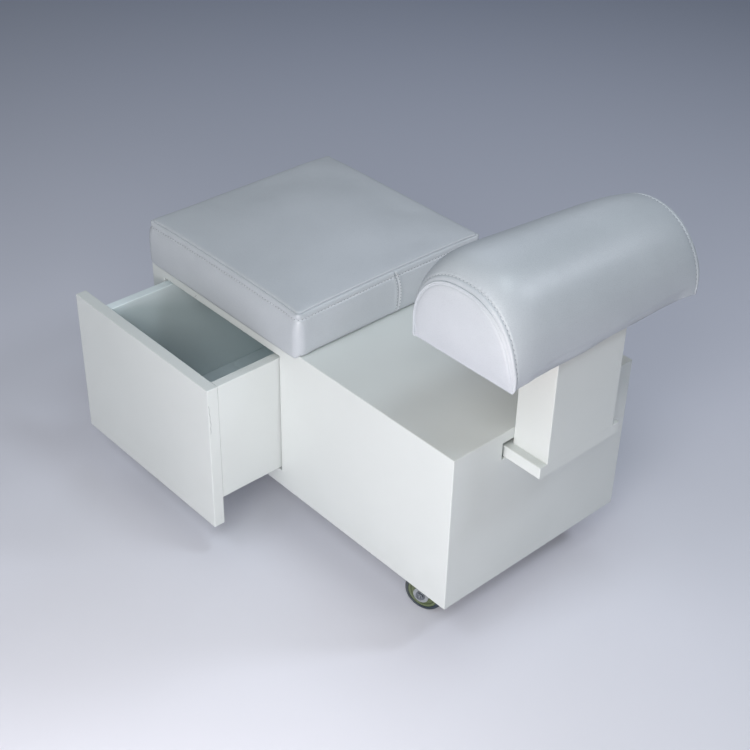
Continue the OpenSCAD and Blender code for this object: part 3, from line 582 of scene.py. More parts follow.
def stitch_row(name, line, normals, pitch, body, closed=False, hole_shade_finish=STITCH_HOLE_SHADE):
    """Sewing along a line on the leather. Every pitch of its length takes one thread, an ellipsoid
    t L cos(p) + (b W cos(q) + n H sin(q)) sin(p) along the line, and one dark bead between threads,
    the painted shade of the stitch hole."""
    if closed:
        line, normals = np.concatenate([line, line[:1]]), np.concatenate([normals, normals[:1]])
    length = np.concatenate([[0], np.cumsum(np.linalg.norm(np.diff(line, axis=0), axis=1))])
    count = int(round(length[-1] / pitch))

    def at(share):
        where = share * length[-1]
        point = np.stack([np.interp(where, length, line[:, k]) for k in range(3)], axis=-1)
        up = np.stack([np.interp(where, length, normals[:, k]) for k in range(3)], axis=-1)
        return point, up / np.linalg.norm(up, axis=-1, keepdims=True)

    def beads(shares, pitch_share, half_width, height, lift):
        half_length = pitch * pitch_share
        point, up = at(shares)
        ahead, _ = at(np.clip(shares + 0.1 / count, 0, 1))
        behind, _ = at(np.clip(shares - 0.1 / count, 0, 1))
        along = ahead - behind
        along /= np.linalg.norm(along, axis=-1, keepdims=True)
        beside = np.cross(along, up)
        p = np.linspace(0, np.pi, BEAD_RINGS + 2)[1:-1, None, None]
        q = np.linspace(0, 2 * np.pi, BEAD_AROUND + 1)[:-1][None, :, None]
        body_points = (point[:, None, None] + up[:, None, None] * lift
                       + along[:, None, None] * half_length * np.cos(p)
                       + (beside[:, None, None] * half_width * np.cos(q)
                          + up[:, None, None] * height * np.sin(q)) * np.sin(p))
        tips = np.stack([point + along * half_length, point - along * half_length], axis=1)
        tips += up[:, None] * lift
        each = np.concatenate([body_points.reshape(len(shares), -1, 3), tips], axis=1)
        ring_points = BEAD_RINGS * BEAD_AROUND
        quads = sheet_faces(BEAD_RINGS, BEAD_AROUND, wrap_columns=True)
        fans = np.concatenate([cap_faces(0, BEAD_AROUND, ring_points, flip=True),
                               cap_faces(ring_points - BEAD_AROUND, BEAD_AROUND, ring_points + 1)])
        step = (ring_points + 2) * np.arange(len(shares))[:, None, None]
        return each.reshape(-1, 3), [(quads[None] + step).reshape(-1, 4),
                                     (fans[None] + step).reshape(-1, 3)]

    threads = (np.arange(count) + 0.5) / count
    holes = np.arange(count if closed else count + 1) / count
    surface(name + "_threads", *beads(threads, *THREAD_SIZE), THREAD, "white_leather", body)
    surface(name + "_holes", *beads(holes, *HOLE_SIZE), hole_shade_finish, "white_leather", body)


# Seat cushion, whose places come from the box of the solid that it stands for
BOARD_GAP, BOARD_CORNER_R = 0.3, 4.0
SEAT_LOW, SEAT_HIGH = box_of("seat_cushion")
SEAT_MIDDLE = np.array([*(SEAT_LOW + SEAT_HIGH)[:2] / 2, SEAT_LOW[2]])
BAND_H, BAND_SWELL, CROWN_H, CROWN_POWER, SIDE_DRAW = 69.0, 8.0, 5.9, 2.6, 2.5
SEAM_X, SEAM_Y, _ = (SEAT_HIGH - SEAT_LOW) / 2 - BAND_SWELL
SEAM_CORNER_R, STITCH_Z, CROWN_REACH = 5.0, 60.0, 174.6
FOOT_X, FOOT_Y, FOOT_R, FOOT_STEP, HEM_DROP = 172.0, 175.9, 3.0, 0.4, 5.3
# Heights and depths of the fine relief
STRIP_PUFF, STITCH_GROOVE, SEAM_GROOVE, RIPPLE_H, ROLL_H = 0.9, 0.8, 1.4, 0.2, 2.3
PUCKER_H, EAR_H, EAR_SINK, JOINT_GROOVE, JOINT_PUFF = 0.45, 1.5, 1.1, 1.5, 0.55


def plan_walk(corner_steps, side_shares):
    """Once round a rounded rectangle. A point is (sx (hx - r) + r cos a, sy (hy - r) + r sin a): on a
    corner only a changes, and on a side only the signs sx and sy do."""
    signs = [(1, 1), (-1, 1), (-1, -1), (1, -1)]
    parts = []
    for k in range(4):
        a = np.radians(90.0 * (k + np.arange(corner_steps + 1) / corner_steps))
        here, after = np.array(signs[k], float), np.array(signs[(k + 1) % 4], float)
        parts.append(np.stack([0 * a + here[0], 0 * a + here[1], np.cos(a), np.sin(a)]))
        t = side_shares[k]
        side = here[:, None] + (after - here)[:, None] * t
        parts.append(np.stack([side[0], side[1], 0 * t + np.cos(a[-1]), 0 * t + np.sin(a[-1])]))
    return np.concatenate(parts, axis=1)


def seat_form():
    """The boxed cushion before its fine relief, as rings: a recess over its board, the foot, the band
    with its swell, and the crown. Sides are drawn in by SIDE_DRAW (1 - s^2) along each side, and the
    crown rises by CROWN_H (1 - X^p) (1 - Y^p). With the rings come the places of their points: round
    the walk, up the band, in from the top seam, and which rings are the band's."""
    even = np.linspace(0, 1, 200)[1:-1]
    front = np.unique(np.concatenate([even, 0.5 + np.linspace(-0.022, 0.062, 60)]))
    walk_x, walk_y, cos_a, sin_a = plan_walk(14, [even, even, even, front])
    # The two hidden sides are hardly drawn in
    draw_x = np.where(np.abs(cos_a) > 0.999, 1 - walk_y ** 2, 0.0) * np.where(cos_a < 0, 0.3, 1.0)
    draw_y = np.where(np.abs(sin_a) > 0.999, 1 - walk_x ** 2, 0.0) * np.where(sin_a > 0, 0.3, 1.0)

    def ring(hx, hy, r, z, draw):
        hx, hy, r, z, draw = (np.atleast_1d(v)[:, None] for v in (hx, hy, r, z, draw))
        x = walk_x * (hx - r) + r * cos_a
        y = walk_y * (hy - r) + r * sin_a
        x = x * (1 - draw / hx * draw_x)
        y = y * (1 - draw / hy * draw_y)
        return np.stack([x, y, np.broadcast_to(z, x.shape)], axis=-1)

    h = np.unique(np.concatenate([np.linspace(0.01, 0.12, 8), np.linspace(0.12, 0.78, 20),
                                  np.linspace(0.78, 1.0, 32)]))
    widest = 0.42
    swell = np.where(h < widest, 1 - 0.3 * (1 - h / widest) ** 5,
                     1 - (np.maximum(h - widest, 0) / (1 - widest)) ** 2.8)
    tuck = 1.8 * (1 - ease(h, 0.0, 0.07))
    band = ring(SEAM_X + BAND_SWELL * swell - tuck, SEAM_Y + BAND_SWELL * swell - tuck,
                SEAM_CORNER_R + 11 * swell, h * BAND_H, SIDE_DRAW * h)
    s = np.concatenate([1 - np.linspace(0.4, 16, 22) / CROWN_REACH, np.linspace(0.89, 0.03, 24)])
    crown = ring(s * SEAM_X, s * SEAM_Y, s * SEAM_CORNER_R, 0 * s, SIDE_DRAW * s)
    undrawn = ring(s * SEAM_X, s * SEAM_Y, s * SEAM_CORNER_R, 0 * s, 0 * s)
    share_x, share_y = np.abs(undrawn[..., 0] / SEAM_X), np.abs(undrawn[..., 1] / SEAM_Y)
    crown[..., 2] = BAND_H + CROWN_H * (1 - share_x ** CROWN_POWER) * (1 - share_y ** CROWN_POWER)
    # Under the band: the recess, the face on the deck, and the hem that hangs just outside the box
    board_low, board_high = box_of("seat_board")
    recess_x, recess_y, recess_z = (board_high - board_low) / [2, 2, 1] + [BOARD_GAP, BOARD_GAP, 0]
    recess_r = BOARD_CORNER_R + BOARD_GAP
    foot = ring([recess_x, recess_x, FOOT_X - FOOT_STEP, FOOT_X], [recess_y, recess_y, FOOT_Y, FOOT_Y],
                [recess_r, recess_r, FOOT_R, FOOT_R], [recess_z, 0.0, 0.0, 0.0], np.zeros(4))
    hem = ease(np.abs(sin_a), 0.6, 1.0)[None, :]
    foot[3, :, 2] -= (HEM_DROP - FOOT_STEP) * hem[0]
    band[..., 2] -= HEM_DROP * hem * (1 - ease(h, 0.0, 0.3))[:, None]
    rings = np.concatenate([foot, band, crown])
    under, top = len(foot), len(foot) + len(h)
    inside_x, inside_y = np.zeros(rings.shape[:2]), np.zeros(rings.shape[:2])
    inside_x[top:], inside_y[top:] = (1 - share_x) * SEAM_X, (1 - share_y) * SEAM_Y
    return rings, SimpleNamespace(
        walk_x=walk_x, walk_y=walk_y, cos_a=cos_a, sin_a=sin_a, inside_x=inside_x, inside_y=inside_y,
        rise=np.concatenate([np.zeros(under), h * BAND_H, np.full(len(s), BAND_H)])[:, None],
        inward=np.concatenate([np.full(top, -1.0), (1 - s) * CROWN_REACH])[:, None],
        under=under, top=top, on_front=cos_a > 0.999)


def joint_line(share):
    """The sewn joint of the band at the front, which bows to the far side, by share of its height."""
    return 1.0 + 2.6 * share + 6.2 * np.sin(np.pi * share) ** 0.8


def seat_relief(rings, at):
    """How far the leather stands out: a puffed strip and a sewn groove under the top seam, the rolled
    edge over it, puckers and a pinched ear at each corner, the band's joint and the filling's slow
    unevenness."""
    on_band, on_top = (at.inward < 0) & (at.rise > 0), at.inward >= 0
    seam_ring = rings[at.top - 1]
    steps = np.linalg.norm(np.roll(seam_ring, -1, axis=0) - seam_ring, axis=1)
    along = np.concatenate([[0], np.cumsum(steps)[:-1]])
    total = steps.sum()
    ripple = np.cos(2 * np.pi * round(total / STITCH_PITCH) * along / total)[None, :]
    strip = np.clip((at.rise - STITCH_Z) / (BAND_H - STITCH_Z), 0, 1)
    relief = on_band * (STRIP_PUFF * np.sin(np.pi * strip) - STITCH_GROOVE * hump(at.rise, STITCH_Z, 1.2)
                        - SEAM_GROOVE * hump(at.rise, BAND_H, 1.1)
                        + RIPPLE_H * ripple * hump(at.rise, STITCH_Z, 3.6))
    roll = 1 - (1 - hump(at.inside_x, 0, 34)) * (1 - hump(at.inside_y, 0, 34))
    relief = relief + on_top * (-1.2 * hump(at.inward, 0.0, 1.2)
                                + ROLL_H * (1 - np.exp(-at.inward / 2.6)) * roll
                                + 0.08 * ripple * hump(at.inward, 2.0, 4.0))
    # The corners, by the way along the seam to the nearest one
    corner_at = np.array([along[np.argmax(at.walk_x * sx + at.walk_y * sy
                                          + 0.5 * (at.cos_a * sx + at.sin_a * sy))]
                          for sx in (-1, 1) for sy in (-1, 1)])
    gap = np.abs(along[:, None] - corner_at[None, :])
    corner = np.minimum(gap, total - gap).min(axis=1)[None, :]
    pucker = np.sin(corner * 1.1 + 0.4) * hump(corner, 9.0, 8.0)
    relief = relief + on_band * (
        PUCKER_H * pucker * hump(at.rise, STITCH_Z - 2, 6.0)
        + EAR_H * hump(corner, 0.0, 3.4) * hump(at.rise, BAND_H - 1.0, 3.6)
        - EAR_SINK * hump(corner, 0.0, 2.6) * hump(at.rise, STITCH_Z + 0.5, 2.4))
    x, y = rings[..., 0], rings[..., 1]
    share = np.clip(at.rise / BAND_H, 0, 1)
    away = y - joint_line(share)
    relief = relief + on_band * at.on_front * ease(BAND_H - at.rise, 0.0, 6.0) * (
        JOINT_PUFF * hump(np.abs(away), 4.5, 3.2) - JOINT_GROOVE * hump(away, 0, 0.9))
    open_top = ease(at.inside_x, 0, 40) * ease(at.inside_y, 0, 40)
    relief = relief + on_top * 0.4 * open_top * (
        np.sin(x / 41 + 1.2) * np.sin(y / 47 + 0.4) + 0.5 * np.sin(x / 23 - y / 31))
    return relief + on_band * 0.5 * np.sin(np.pi * share) * (
        np.sin(x / 37 + y / 29) + np.sin(x / 19 - y / 23 + 1))


def seat_shape():
    """The cushion's rings with their relief. The top seam droops at its corners, most at the rear far
    one, and the front edge lifts a little off the deck."""
    plain, at = seat_form()
    rings = plain + grid_normals(plain) * seat_relief(plain, at)[..., None]
    from_corner = np.hypot(np.maximum(SEAM_X - np.abs(plain[..., 0]), 0),
                           np.maximum(SEAM_Y - np.abs(plain[..., 1]), 0))
    most = np.where((at.walk_x < 0) & (at.walk_y > 0), 3.0, 0.7)
    rings[..., 2] -= most * hump(from_corner, 0.0, 34.0) * np.clip(at.rise / BAND_H, 0, 1)
    lift = 1.7 * at.on_front * ease(1 - np.abs(at.walk_y), 0.0, 0.12) * (1 - ease(at.rise, 0.0, 14.0))
    rings[at.under:, :, 2] += lift[at.under:]
    return rings + SEAT_MIDDLE, at


def make_seat():
    """The boxed cushion with its rows of stitches."""
    rings, at = seat_shape()
    rings = blown_up(rings, *SEAT_CLOTH)
    cushion = surface("boxed_seat_cushion", *capped_rings(rings), LEATHER, "white_leather", "base")
    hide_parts("seat_cushion")
    normals = grid_normals(rings)
    sewn = at.under + int(np.argmin(np.abs(at.rise[at.under:at.top, 0] - STITCH_Z)))
    stitch_row("seat_band_stitch", rings[sewn], normals[sewn], STITCH_PITCH, "base", closed=True)
    # Two short rows beside the joint of the band
    rows = np.arange(at.under + 4, at.top - 14)
    columns = np.flatnonzero(at.on_front)
    for label, side in (("near", -1), ("far", 1)):
        wanted = SEAT_MIDDLE[1] + joint_line(at.rise[rows] / BAND_H) + side * 3.2
        nearest = columns[np.abs(rings[rows][:, columns, 1] - wanted).argmin(axis=1)]
        stitch_row("seat_joint_stitch_" + label, rings[rows, nearest], normals[rows, nearest],
                   JOINT_PITCH, "base")


make_seat()


# Footrest cushion, which sits over its board
REST_BOARD_LOW, REST_BOARD_HIGH = box_of("bolster_board")
REST_MIDDLE = np.array([*(REST_BOARD_LOW + REST_BOARD_HIGH)[:2] / 2, REST_BOARD_LOW[2]])
REST_BOARD_W, REST_BOARD_L, REST_HOLLOW = (REST_BOARD_HIGH - REST_BOARD_LOW) / [2, 2, 1] + BOARD_GAP
REST_HALF_L, REST_HALF_W, REST_H, REST_LEAN, REST_FOOT_R = 175.5, 85.5, 103.0, 6.5, 3.0
FRONT_SWELL, REAR_SWELL, CROWN_SWELL = 5.0, 15.5, 19.0
# The sewn line's way in from an end, and how far the ends, the foot and the near fold are drawn
SEW_IN, NEAR_TUCK, FAR_TUCK, FOOT_PULL, FOOT_RISE, FOLD_DROP = 6.2, 4.6, 6.8, 7.0, 3.4, 2.2
PANEL_PUFF, PANEL_LINE, EDGE_R = 5.0, 0.5, 4.0


def rest_arc(place, angle):
    """A point of the half-round cover at a place along its length (-1 to 1) and an angle over its
    section: a superellipse of power 2.3, rounder at the far end, leaning to the seat, that swells
    between its ends by (1 - |p|^7.5)(1 - 0.57 p)."""
    c, s = np.cos(angle), np.sin(angle)
    power = 2 / (2.3 - 0.2 * ease(place, -0.2, 1.0))
    side = np.sign(c) * np.abs(c) ** power
    up = s ** power
    bulge = (1 - np.abs(place) ** 7.5) * (1 - 0.57 * place)
    swollen = np.clip((up - 0.08) / 0.42, 0, 1)
    swell = np.where(side > 0, FRONT_SWELL, REAR_SWELL)
    x = side * (REST_HALF_W + swell * bulge * swollen) - REST_LEAN * up
    return np.stack([x, place * REST_HALF_L + 0 * x, up * (REST_H + CROWN_SWELL * bulge)], axis=-1)


def end_tuck(z, end):
    """How far an end (-1 near, 1 far) is drawn in under the cushion: most at the foot, nothing from
    45 mm up."""
    most = np.where(end < 0, NEAR_TUCK, FAR_TUCK)
    return most * (1 - ease(z, -12.0, 45.0)) / (1 - ease(0.0, -12.0, 45.0))


def rest_form():
    """The cover before its fine relief: its sections along Y, each an arc and the foot that turns in
    to the board, the arcs alone, and the places and angles of their points."""
    length, extra = 2 * REST_HALF_L, REST_HALF_L - REST_BOARD_L
    near_end = np.concatenate([np.linspace(0, 14, 24), np.linspace(15.5, 30, 9)])
    across = np.unique(np.concatenate([
        near_end, np.linspace(34, 317, 60), length - near_end[::-1],
        [extra, extra + 0.02, length - extra, length - extra - 0.02]]))
    place = ((across - REST_HALF_L) / REST_HALF_L)[:, None]
    low_angles = np.array([0.1, 0.35, 0.7, 1.1, 1.5])
    angle = np.radians(np.concatenate([low_angles, np.linspace(2, 178, 206), 180 - low_angles[::-1]]))
    arc = rest_arc(place, angle[None, :])
    # The lower edges are pulled in and up by the stapling under the board, in slow waves
    wave = 1 + 0.16 * np.sin(place * 5.2 + 0.4) + 0.1 * np.sin(place * 11.0 + 1.0)
    low = (1 - ease(arc[..., 2], -8.0, 24.0)) / (1 - ease(0.0, -8.0, 24.0))
    front_hold = (1 - 0.75 * ease(place, 0.75, 1.0)) * (1 - 0.5 * ease(-place, 0.7, 1.0))
    rear_hold = 0.6 * (1 - np.abs(place) ** 5) - 0.2 * ease(-place, 0.8, 1.0)
    pull = wave * low * np.where(arc[..., 0] > 0, front_hold, rear_hold)
    below = np.maximum(REST_FOOT_R - arc[..., 2], 0)
    rounding = np.sqrt(np.maximum(REST_FOOT_R ** 2 - below ** 2, 0))
    arc[..., 0] -= np.sign(arc[..., 0]) * (FOOT_PULL * pull + REST_FOOT_R - rounding)
    arc[..., 2] += FOOT_RISE * pull * (1 - np.abs(place) ** 9)
    # The foot turns in to the board, and over the board it is hollow
    turn = np.array([0.25, 0.6, 1.0])
    rear_edge, front_edge = arc[:, -1, 0][:, None], arc[:, 0, 0][:, None]
    wall_foot = REST_BOARD_W + 0.6
    rear_x = rear_edge + (-wall_foot - rear_edge) * turn
    front_x = (front_edge + (wall_foot - front_edge) * turn)[:, ::-1]
    foot_line = np.linspace(-REST_BOARD_W, REST_BOARD_W, 41)
    middle_x = np.broadcast_to(foot_line, (len(across), len(foot_line)))
    foot_x = np.concatenate([rear_x, middle_x, front_x], axis=1)
    foot_up = np.concatenate([0 * turn, 0 * foot_line + 1, 0 * turn])[None, :]
    hollow = np.where(np.abs(place * REST_HALF_L) < REST_BOARD_L - 0.01, REST_HOLLOW, 0.0)
    foot = np.stack(np.broadcast_arrays(foot_x, place * REST_HALF_L, hollow * foot_up), axis=-1)
    sections = np.concatenate([arc, foot], axis=1)
    beyond = np.abs(sections[..., 1]) - REST_BOARD_L - 0.05
    beyond = np.clip(beyond / (REST_HALF_L - REST_BOARD_L - 0.05), 0, 1)
    sections[..., 1] -= np.sign(place) * beyond * end_tuck(sections[..., 2], place)
    return sections, arc, across, place, angle


def crispness(place, angle):
    """How far the edge is a corded rim (1) or a soft roll (0): the piping stands out over the top and
    the rear, and the near edge is soft low on the front."""
    return np.where(place < 0, 0.06 + 0.94 * ease(angle, np.radians(38), np.radians(82)), 0.6)


def rest_relief(arc, place, angle):
    """How far the leather stands out: the sewn strip at each end with its groove, the foam's soft
    unevenness, folds where the cover is pulled under the board, and the soft near edge."""
    from_end = REST_HALF_L - np.abs(place * REST_HALF_L)
    length = np.concatenate([[0], np.cumsum(np.linalg.norm(np.diff(arc[0], axis=0), axis=1))])
    stitches = round(length[-1] / STITCH_PITCH)
    ripple = np.cos(2 * np.pi * stitches * length / length[-1])[None, :]
    strip = np.clip(from_end / SEW_IN, 0, 1)
    crisp = crispness(place, angle)
    relief = (0.7 * np.sin(np.pi * strip) - 0.7 * hump(from_end, SEW_IN, 1.1)
              - 0.8 * crisp * hump(from_end, 0.0, 1.2)
              + RIPPLE_H * ripple * hump(from_end, SEW_IN, 3.5))
    y, up = place * REST_HALF_L, arc[..., 2] / REST_H
    relief = relief + 0.45 * np.sin(y / 33 + 2 * up) * np.sin(4 * up + 1) * ease(from_end, 5, 40)
    folds = 0.7 * np.sin(y / 12.5 + 0.6 * np.sin(y / 31)) + 0.8 * np.sin(y / 27 + 1)
    relief = relief + hump(up, 0.06, 0.16) * ease(from_end, 6, 30) * folds
    round_in = EDGE_R - np.sqrt(EDGE_R ** 2 - np.maximum(0.92 * EDGE_R - from_end, 0) ** 2)
    relief = relief - (1 - crisp) * round_in * (place < 0)
    return relief * ease(arc[..., 2], 0.0, 6.0)


def end_panel(end, ring):
    """The end section shrunk to its middle by a share s, turning into an oval on the way, puffed by
    PANEL_PUFF (1 - exp(-3.2 (1 - s^2.3)))(1 - exp(-z / 14)), with a fine line inside the rim."""
    share = np.concatenate([np.linspace(0.985, 0.9, 12), np.linspace(0.885, 0.03, 42)])[:, None]
    middle = (ring.max(axis=0) + ring.min(axis=0)) / 2
    reach = ring - middle
    turn = np.arctan2(reach[:, 2] / REST_H, reach[:, 0] / REST_HALF_W)
    oval = np.stack([0.86 * REST_HALF_W * np.cos(turn), 0 * turn, 0.46 * REST_H * np.sin(turn)], axis=-1)
    towards = ease(1 - share, 0.0, 0.45)[..., None]
    inner = middle + (reach + (oval - reach) * towards) * share[..., None]
    z = np.maximum(inner[..., 2], 0)
    puff = PANEL_PUFF * (1 - np.exp(-3.2 * (1 - share ** 2.3))) * (1 - np.exp(-z / 14))
    line = PANEL_LINE * hump(share, 0.95, 0.012) * ease(z, 4, 12)
    inner[..., 1] = end * (REST_HALF_L - end_tuck(z, end) + puff - line)
    return inner


def make_footrest_cushion():
    """The half-round cover with its two puffed end panels, rows of stitches and piping."""
    sections, arc, across, place, angle = rest_form()
    arc_count = len(angle)
    # Its columns run the other way round from the seat's
    normals = -grid_normals(sections)[:, :arc_count]
    sections[:, :arc_count] += normals * rest_relief(arc, place, angle)[..., None]
    # The fold of the near end hangs a little below the board
    near_fold = (1 - ease(REST_HALF_L - np.abs(place * REST_HALF_L), 0.0, 11.0)) * (place < 0)
    sections[..., 2] -= FOLD_DROP * near_fold * (1 - ease(sections[..., 2], 0.0, 25.0))
    near, far = end_panel(-1, sections[0])[::-1], end_panel(1, sections[-1])
    rings = np.concatenate([near, sections, far]) + REST_MIDDLE
    ridge = rings[:, arc_count // 2, 1] - REST_MIDDLE[1]
    rows = [int(np.argmin(np.abs(ridge - end * (REST_HALF_L - SEW_IN)))) for end in (-1, 1)]
    rings = blown_up(rings, *REST_CLOTH)
    cushion = surface("half_round_footrest_cushion", *capped_rings(rings), LEATHER, "white_leather",
                      "footrest")
    cushion.data.materials.append(LIGHTER_PANEL_LEATHER)
    # The end panels and the soft part of the near strip have the duller leather, which is also a lighter
    # copy of the white leather: painted light for the light that falls on them.
    row_count, columns = rings.shape[0] - 1, rings.shape[1]
    row, column = np.divmod(np.arange(row_count * columns), columns)
    soft_strip = (row - len(near) < np.searchsorted(across, SEW_IN)) & (
        column < np.searchsorted(angle, np.radians(60)))
    finish = np.ones(len(cushion.data.polygons), np.int32)
    finish[:len(row)] = (row < len(near)) | (row >= row_count - len(far)) | soft_strip
    cushion.data.polygons.foreach_set("material_index", finish)
    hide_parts("bolster_cushion")

    normals = -grid_normals(rings)
    over_top = slice(13, arc_count - 13)
    for label, end, sewn, rim, thick in (("near", -1, rows[0], 0, 1.4), ("far", 1, rows[1], -1, 0.9)):
        stitch_row(f"footrest_{label}_stitch", rings[sewn, over_top], normals[sewn, over_top],
                   STITCH_PITCH, "footrest", hole_shade_finish=PALE_HOLE_SHADE)
        sides = np.concatenate([crispness(place, angle)[rim], np.full(columns - arc_count, 0.1)])
        ring = rings[len(near) + rim % len(sections)]
        piping(f"footrest_{label}_piping", ring, thick * (0.07 + 0.93 * sides), "footrest", end)


def piping(name, ring, radius, body, end):
    """A round cord of leather carried round the rim of an end panel: centre + radius (n cos q +
    y sin q), with a radius for each point of the ring."""
    around = np.linspace(0, 2 * np.pi, 11)[:-1]
    spacing = np.linalg.norm(np.diff(ring, axis=0, append=ring[:1]), axis=1)
    ring, radius = ring[spacing > 0.3], radius[spacing > 0.3]
    along = np.roll(ring, -1, axis=0) - np.roll(ring, 1, axis=0)
    along /= np.linalg.norm(along, axis=1, keepdims=True)
    across = np.tile([[0.0, 1.0, 0.0]], (len(ring), 1))
    out = np.cross(along, across)
    out /= np.linalg.norm(out, axis=1, keepdims=True)
    centre = ring + across * end * 0.28 * radius[:, None]
    spokes = (out[:, None] * np.cos(around)[None, :, None]
              + across[:, None] * np.sin(around)[None, :, None])
    tube = centre[:, None] + radius[:, None, None] * spokes
    skin = sheet_faces(len(ring), len(around), wrap_rows=True, wrap_columns=True)
    surface(name, tube.reshape(-1, 3), [skin], LEATHER, "white_leather", body)


make_footrest_cushion()


# Caster wheels: how far each caster is swivelled in degrees, and sizes in millimetres
CASTER_TURN = dict(zip(PLACES, (-14.0, 9.0, 17.0, 28.0)))
CASTER_TRAIL, WHEEL_R, AXLE_R = 22.0, 30.0, 3.2


def turned(name, place, profile, finish, slot, body, around=72, replaced=None, solid=False):
    """A part turned about the axle of a caster. The profile is a line of (radius, place along the
    axle) and a point is (r cos q, y, r sin q) about the axle, swivelled with its caster. The line is
    closed, or with solid it runs from end to end and both ends are filled."""
    profile = np.asarray(profile, float)
    q = np.linspace(0, 2 * np.pi, around, endpoint=False)[None, :]
    r, y = profile[:, :1], np.broadcast_to(profile[:, 1:], (len(profile), around))
    x, z = r * np.cos(q) - CASTER_TRAIL, r * np.sin(q) + WHEEL_R
    swivel = np.radians(CASTER_TURN[place])
    pin_x, pin_y, _ = np.mean(box_of("caster_plate_" + place), axis=0)
    points = np.stack([pin_x + x * np.cos(swivel) - y * np.sin(swivel),
                       pin_y + x * np.sin(swivel) + y * np.cos(swivel), z], axis=-1)
    if solid:
        points, faces = capped_rings(points)
    else:
        faces = [sheet_faces(len(profile), around, wrap_rows=True, wrap_columns=True)]
    piece = surface(name, points.reshape(-1, 3), faces, finish, slot, body, smooth=around > 6)
    if replaced:
        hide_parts(replaced)
    return piece


def rounded_line(corners, step=4):
    """A line through corners (r, y, radius), each corner cut to an arc: a quadratic curve between the
    two points that lie its radius away from it. A corner of radius 0 stays as it is."""
    corners = np.asarray(corners, float)
    t = np.linspace(0, 1, step + 1)[:, None]
    line = []
    for k, (*here, radius) in enumerate(corners):
        here, before, after = np.array(here), corners[k - 1][:2], corners[(k + 1) % len(corners)][:2]
        start = here + (before - here) / np.linalg.norm(before - here) * radius
        end = here + (after - here) / np.linalg.norm(after - here) * radius
        arc = start * (1 - t) ** 2 + 2 * here * t * (1 - t) + end * t ** 2
        line.append(arc if radius else here[None])
    return np.concatenate(line)


def make_wheels():
    """Each wheel's tyre, its disc with a sunk ring and hub, and the bolt with washers, head and nut."""
    tyre = rounded_line([(23.7, -10.4, 0.3), (24.6, -10.9, 0.4), (27.6, -10.4, 1.2), (30.0, -6.8, 1.6),
                         (30.0, 6.8, 1.6), (27.6, 10.4, 1.2), (24.6, 10.9, 0.4), (23.7, 10.4, 0.3)])
    half = [(23.5, 9.6, 0.3), (22.6, 10.0, 0.4), (20.2, 9.8, 0.5), (18.8, 7.2, 0.5), (12.2, 7.2, 0.6),
            (10.4, 9.4, 0.6), (8.2, 12.6, 0.6), (AXLE_R, 12.9, 0.2)]
    disc = rounded_line(half + [(r, -y, c) for r, y, c in half[::-1]])
    side = [(2.2, 20.9, 0), (2.9, 20.2, 0), (2.9, 16.9, 0.1), (6.8, 16.9, 0.2), (7.2, 16.5, 0.2),
            (7.2, 15.6, 0.1), (2.9, 15.6, 0.1)]
    bolt_line = rounded_line([(r, -y, c) for r, y, c in side] + side[::-1])
    head = [(3.1, -17.0), (5.6, -17.0), (5.9, -17.4), (5.9, -19.3), (5.1, -19.8), (3.1, -19.8)]
    nut = [(r, -y) for r, y in head[::-1]]
    for place in PLACES:
        wheel, swivel = "caster_wheel_" + place, "caster_swivel_" + place
        turned("wheel_tyre_" + place, place, tyre, TYRE, "tyre", wheel,
               replaced="caster_tyre_" + place)
        turned("wheel_disc_" + place, place, disc, WHEEL_DISC, "wheel_core", wheel,
               replaced="caster_core_" + place)
        turned("axle_bolt_" + place, place, bolt_line, BOLT_STEEL, "dark_steel", swivel, around=40,
               replaced="caster_axle_" + place, solid=True)
        for label, hexagon in (("head", head), ("nut", nut)):
            turned(f"axle_{label}_{place}", place, hexagon, BOLT_STEEL, "dark_steel", swivel, around=6)


make_wheels()


# Joints that show as hairlines in the lacquer
HAIR_HALF_W, HAIR_DEPTH, HAIR_PROUD = 0.25, 0.3, 0.05


def hairline(name, line, across, out, body):
    """A fine open joint along a line of bench points: a bar sunk in the board that stands a little
    proud of it."""
    across, out = np.array(across, float), np.array(out, float)
    corners = np.stack([line + across * HAIR_HALF_W * side + out * depth for side, depth in (
        (-1, -HAIR_DEPTH), (1, -HAIR_DEPTH), (1, HAIR_PROUD), (-1, HAIR_PROUD))], axis=1)
    surface(name, *capped_rings(corners), JOINT_SHADE, "white_lacquer", body)


def make_hairlines():
    """The wavering joint of the lipping on the drawer front's end, and the short joint over the
    drawer's opening, which bends as it rises."""
    t = np.linspace(0, 1, 40)
    low, high = box_of("drawer_front")
    waver = 0.9 * np.sin(5 * t) + 0.35 * np.sin(23 * t)
    lipping = np.stack([high[0] + 0 * t, low[1] + 2.3 + waver, low[2] + 171 + 49 * t], axis=1)
    hairline("drawer_front_lipping_joint", lipping, (0, 1, 0), (1, 0, 0), "drawer")
    rail_z = box_of("side_panel_drawer")[1][2] - TOP_RAIL_H
    bent = np.stack([106 + 9 * t, 0 * t, rail_z + 0.2 + 8.0 * t ** 1.4], axis=1)
    hairline("rail_joint", bent, (1, 0, 0), (0, -1, 0), "base")


make_hairlines()


# Finishes of the pieces that keep the joiner's shape
WELD_GAP = 0.00001


def dress(finish, *names):
    for name in names:
        node = NODES[name]
        node.data.materials.clear()
        node.data.materials.append(finish)


def ease_tongue():
    """The tongue keeps its solid, with its points joined, its edges eased and the corners joined."""
    tongue = NODES["tongue_board"]
    tongue.modifiers.new("joined_points", "WELD").merge_threshold = WELD_GAP
    eased = tongue.modifiers.new("eased_edges", "BEVEL")
    eased.width, eased.segments, eased.angle_limit = EASED_R / 1000.0, 3, 0.7
    tongue.modifiers.new("joined_corners", "WELD").merge_threshold = WELD_GAP


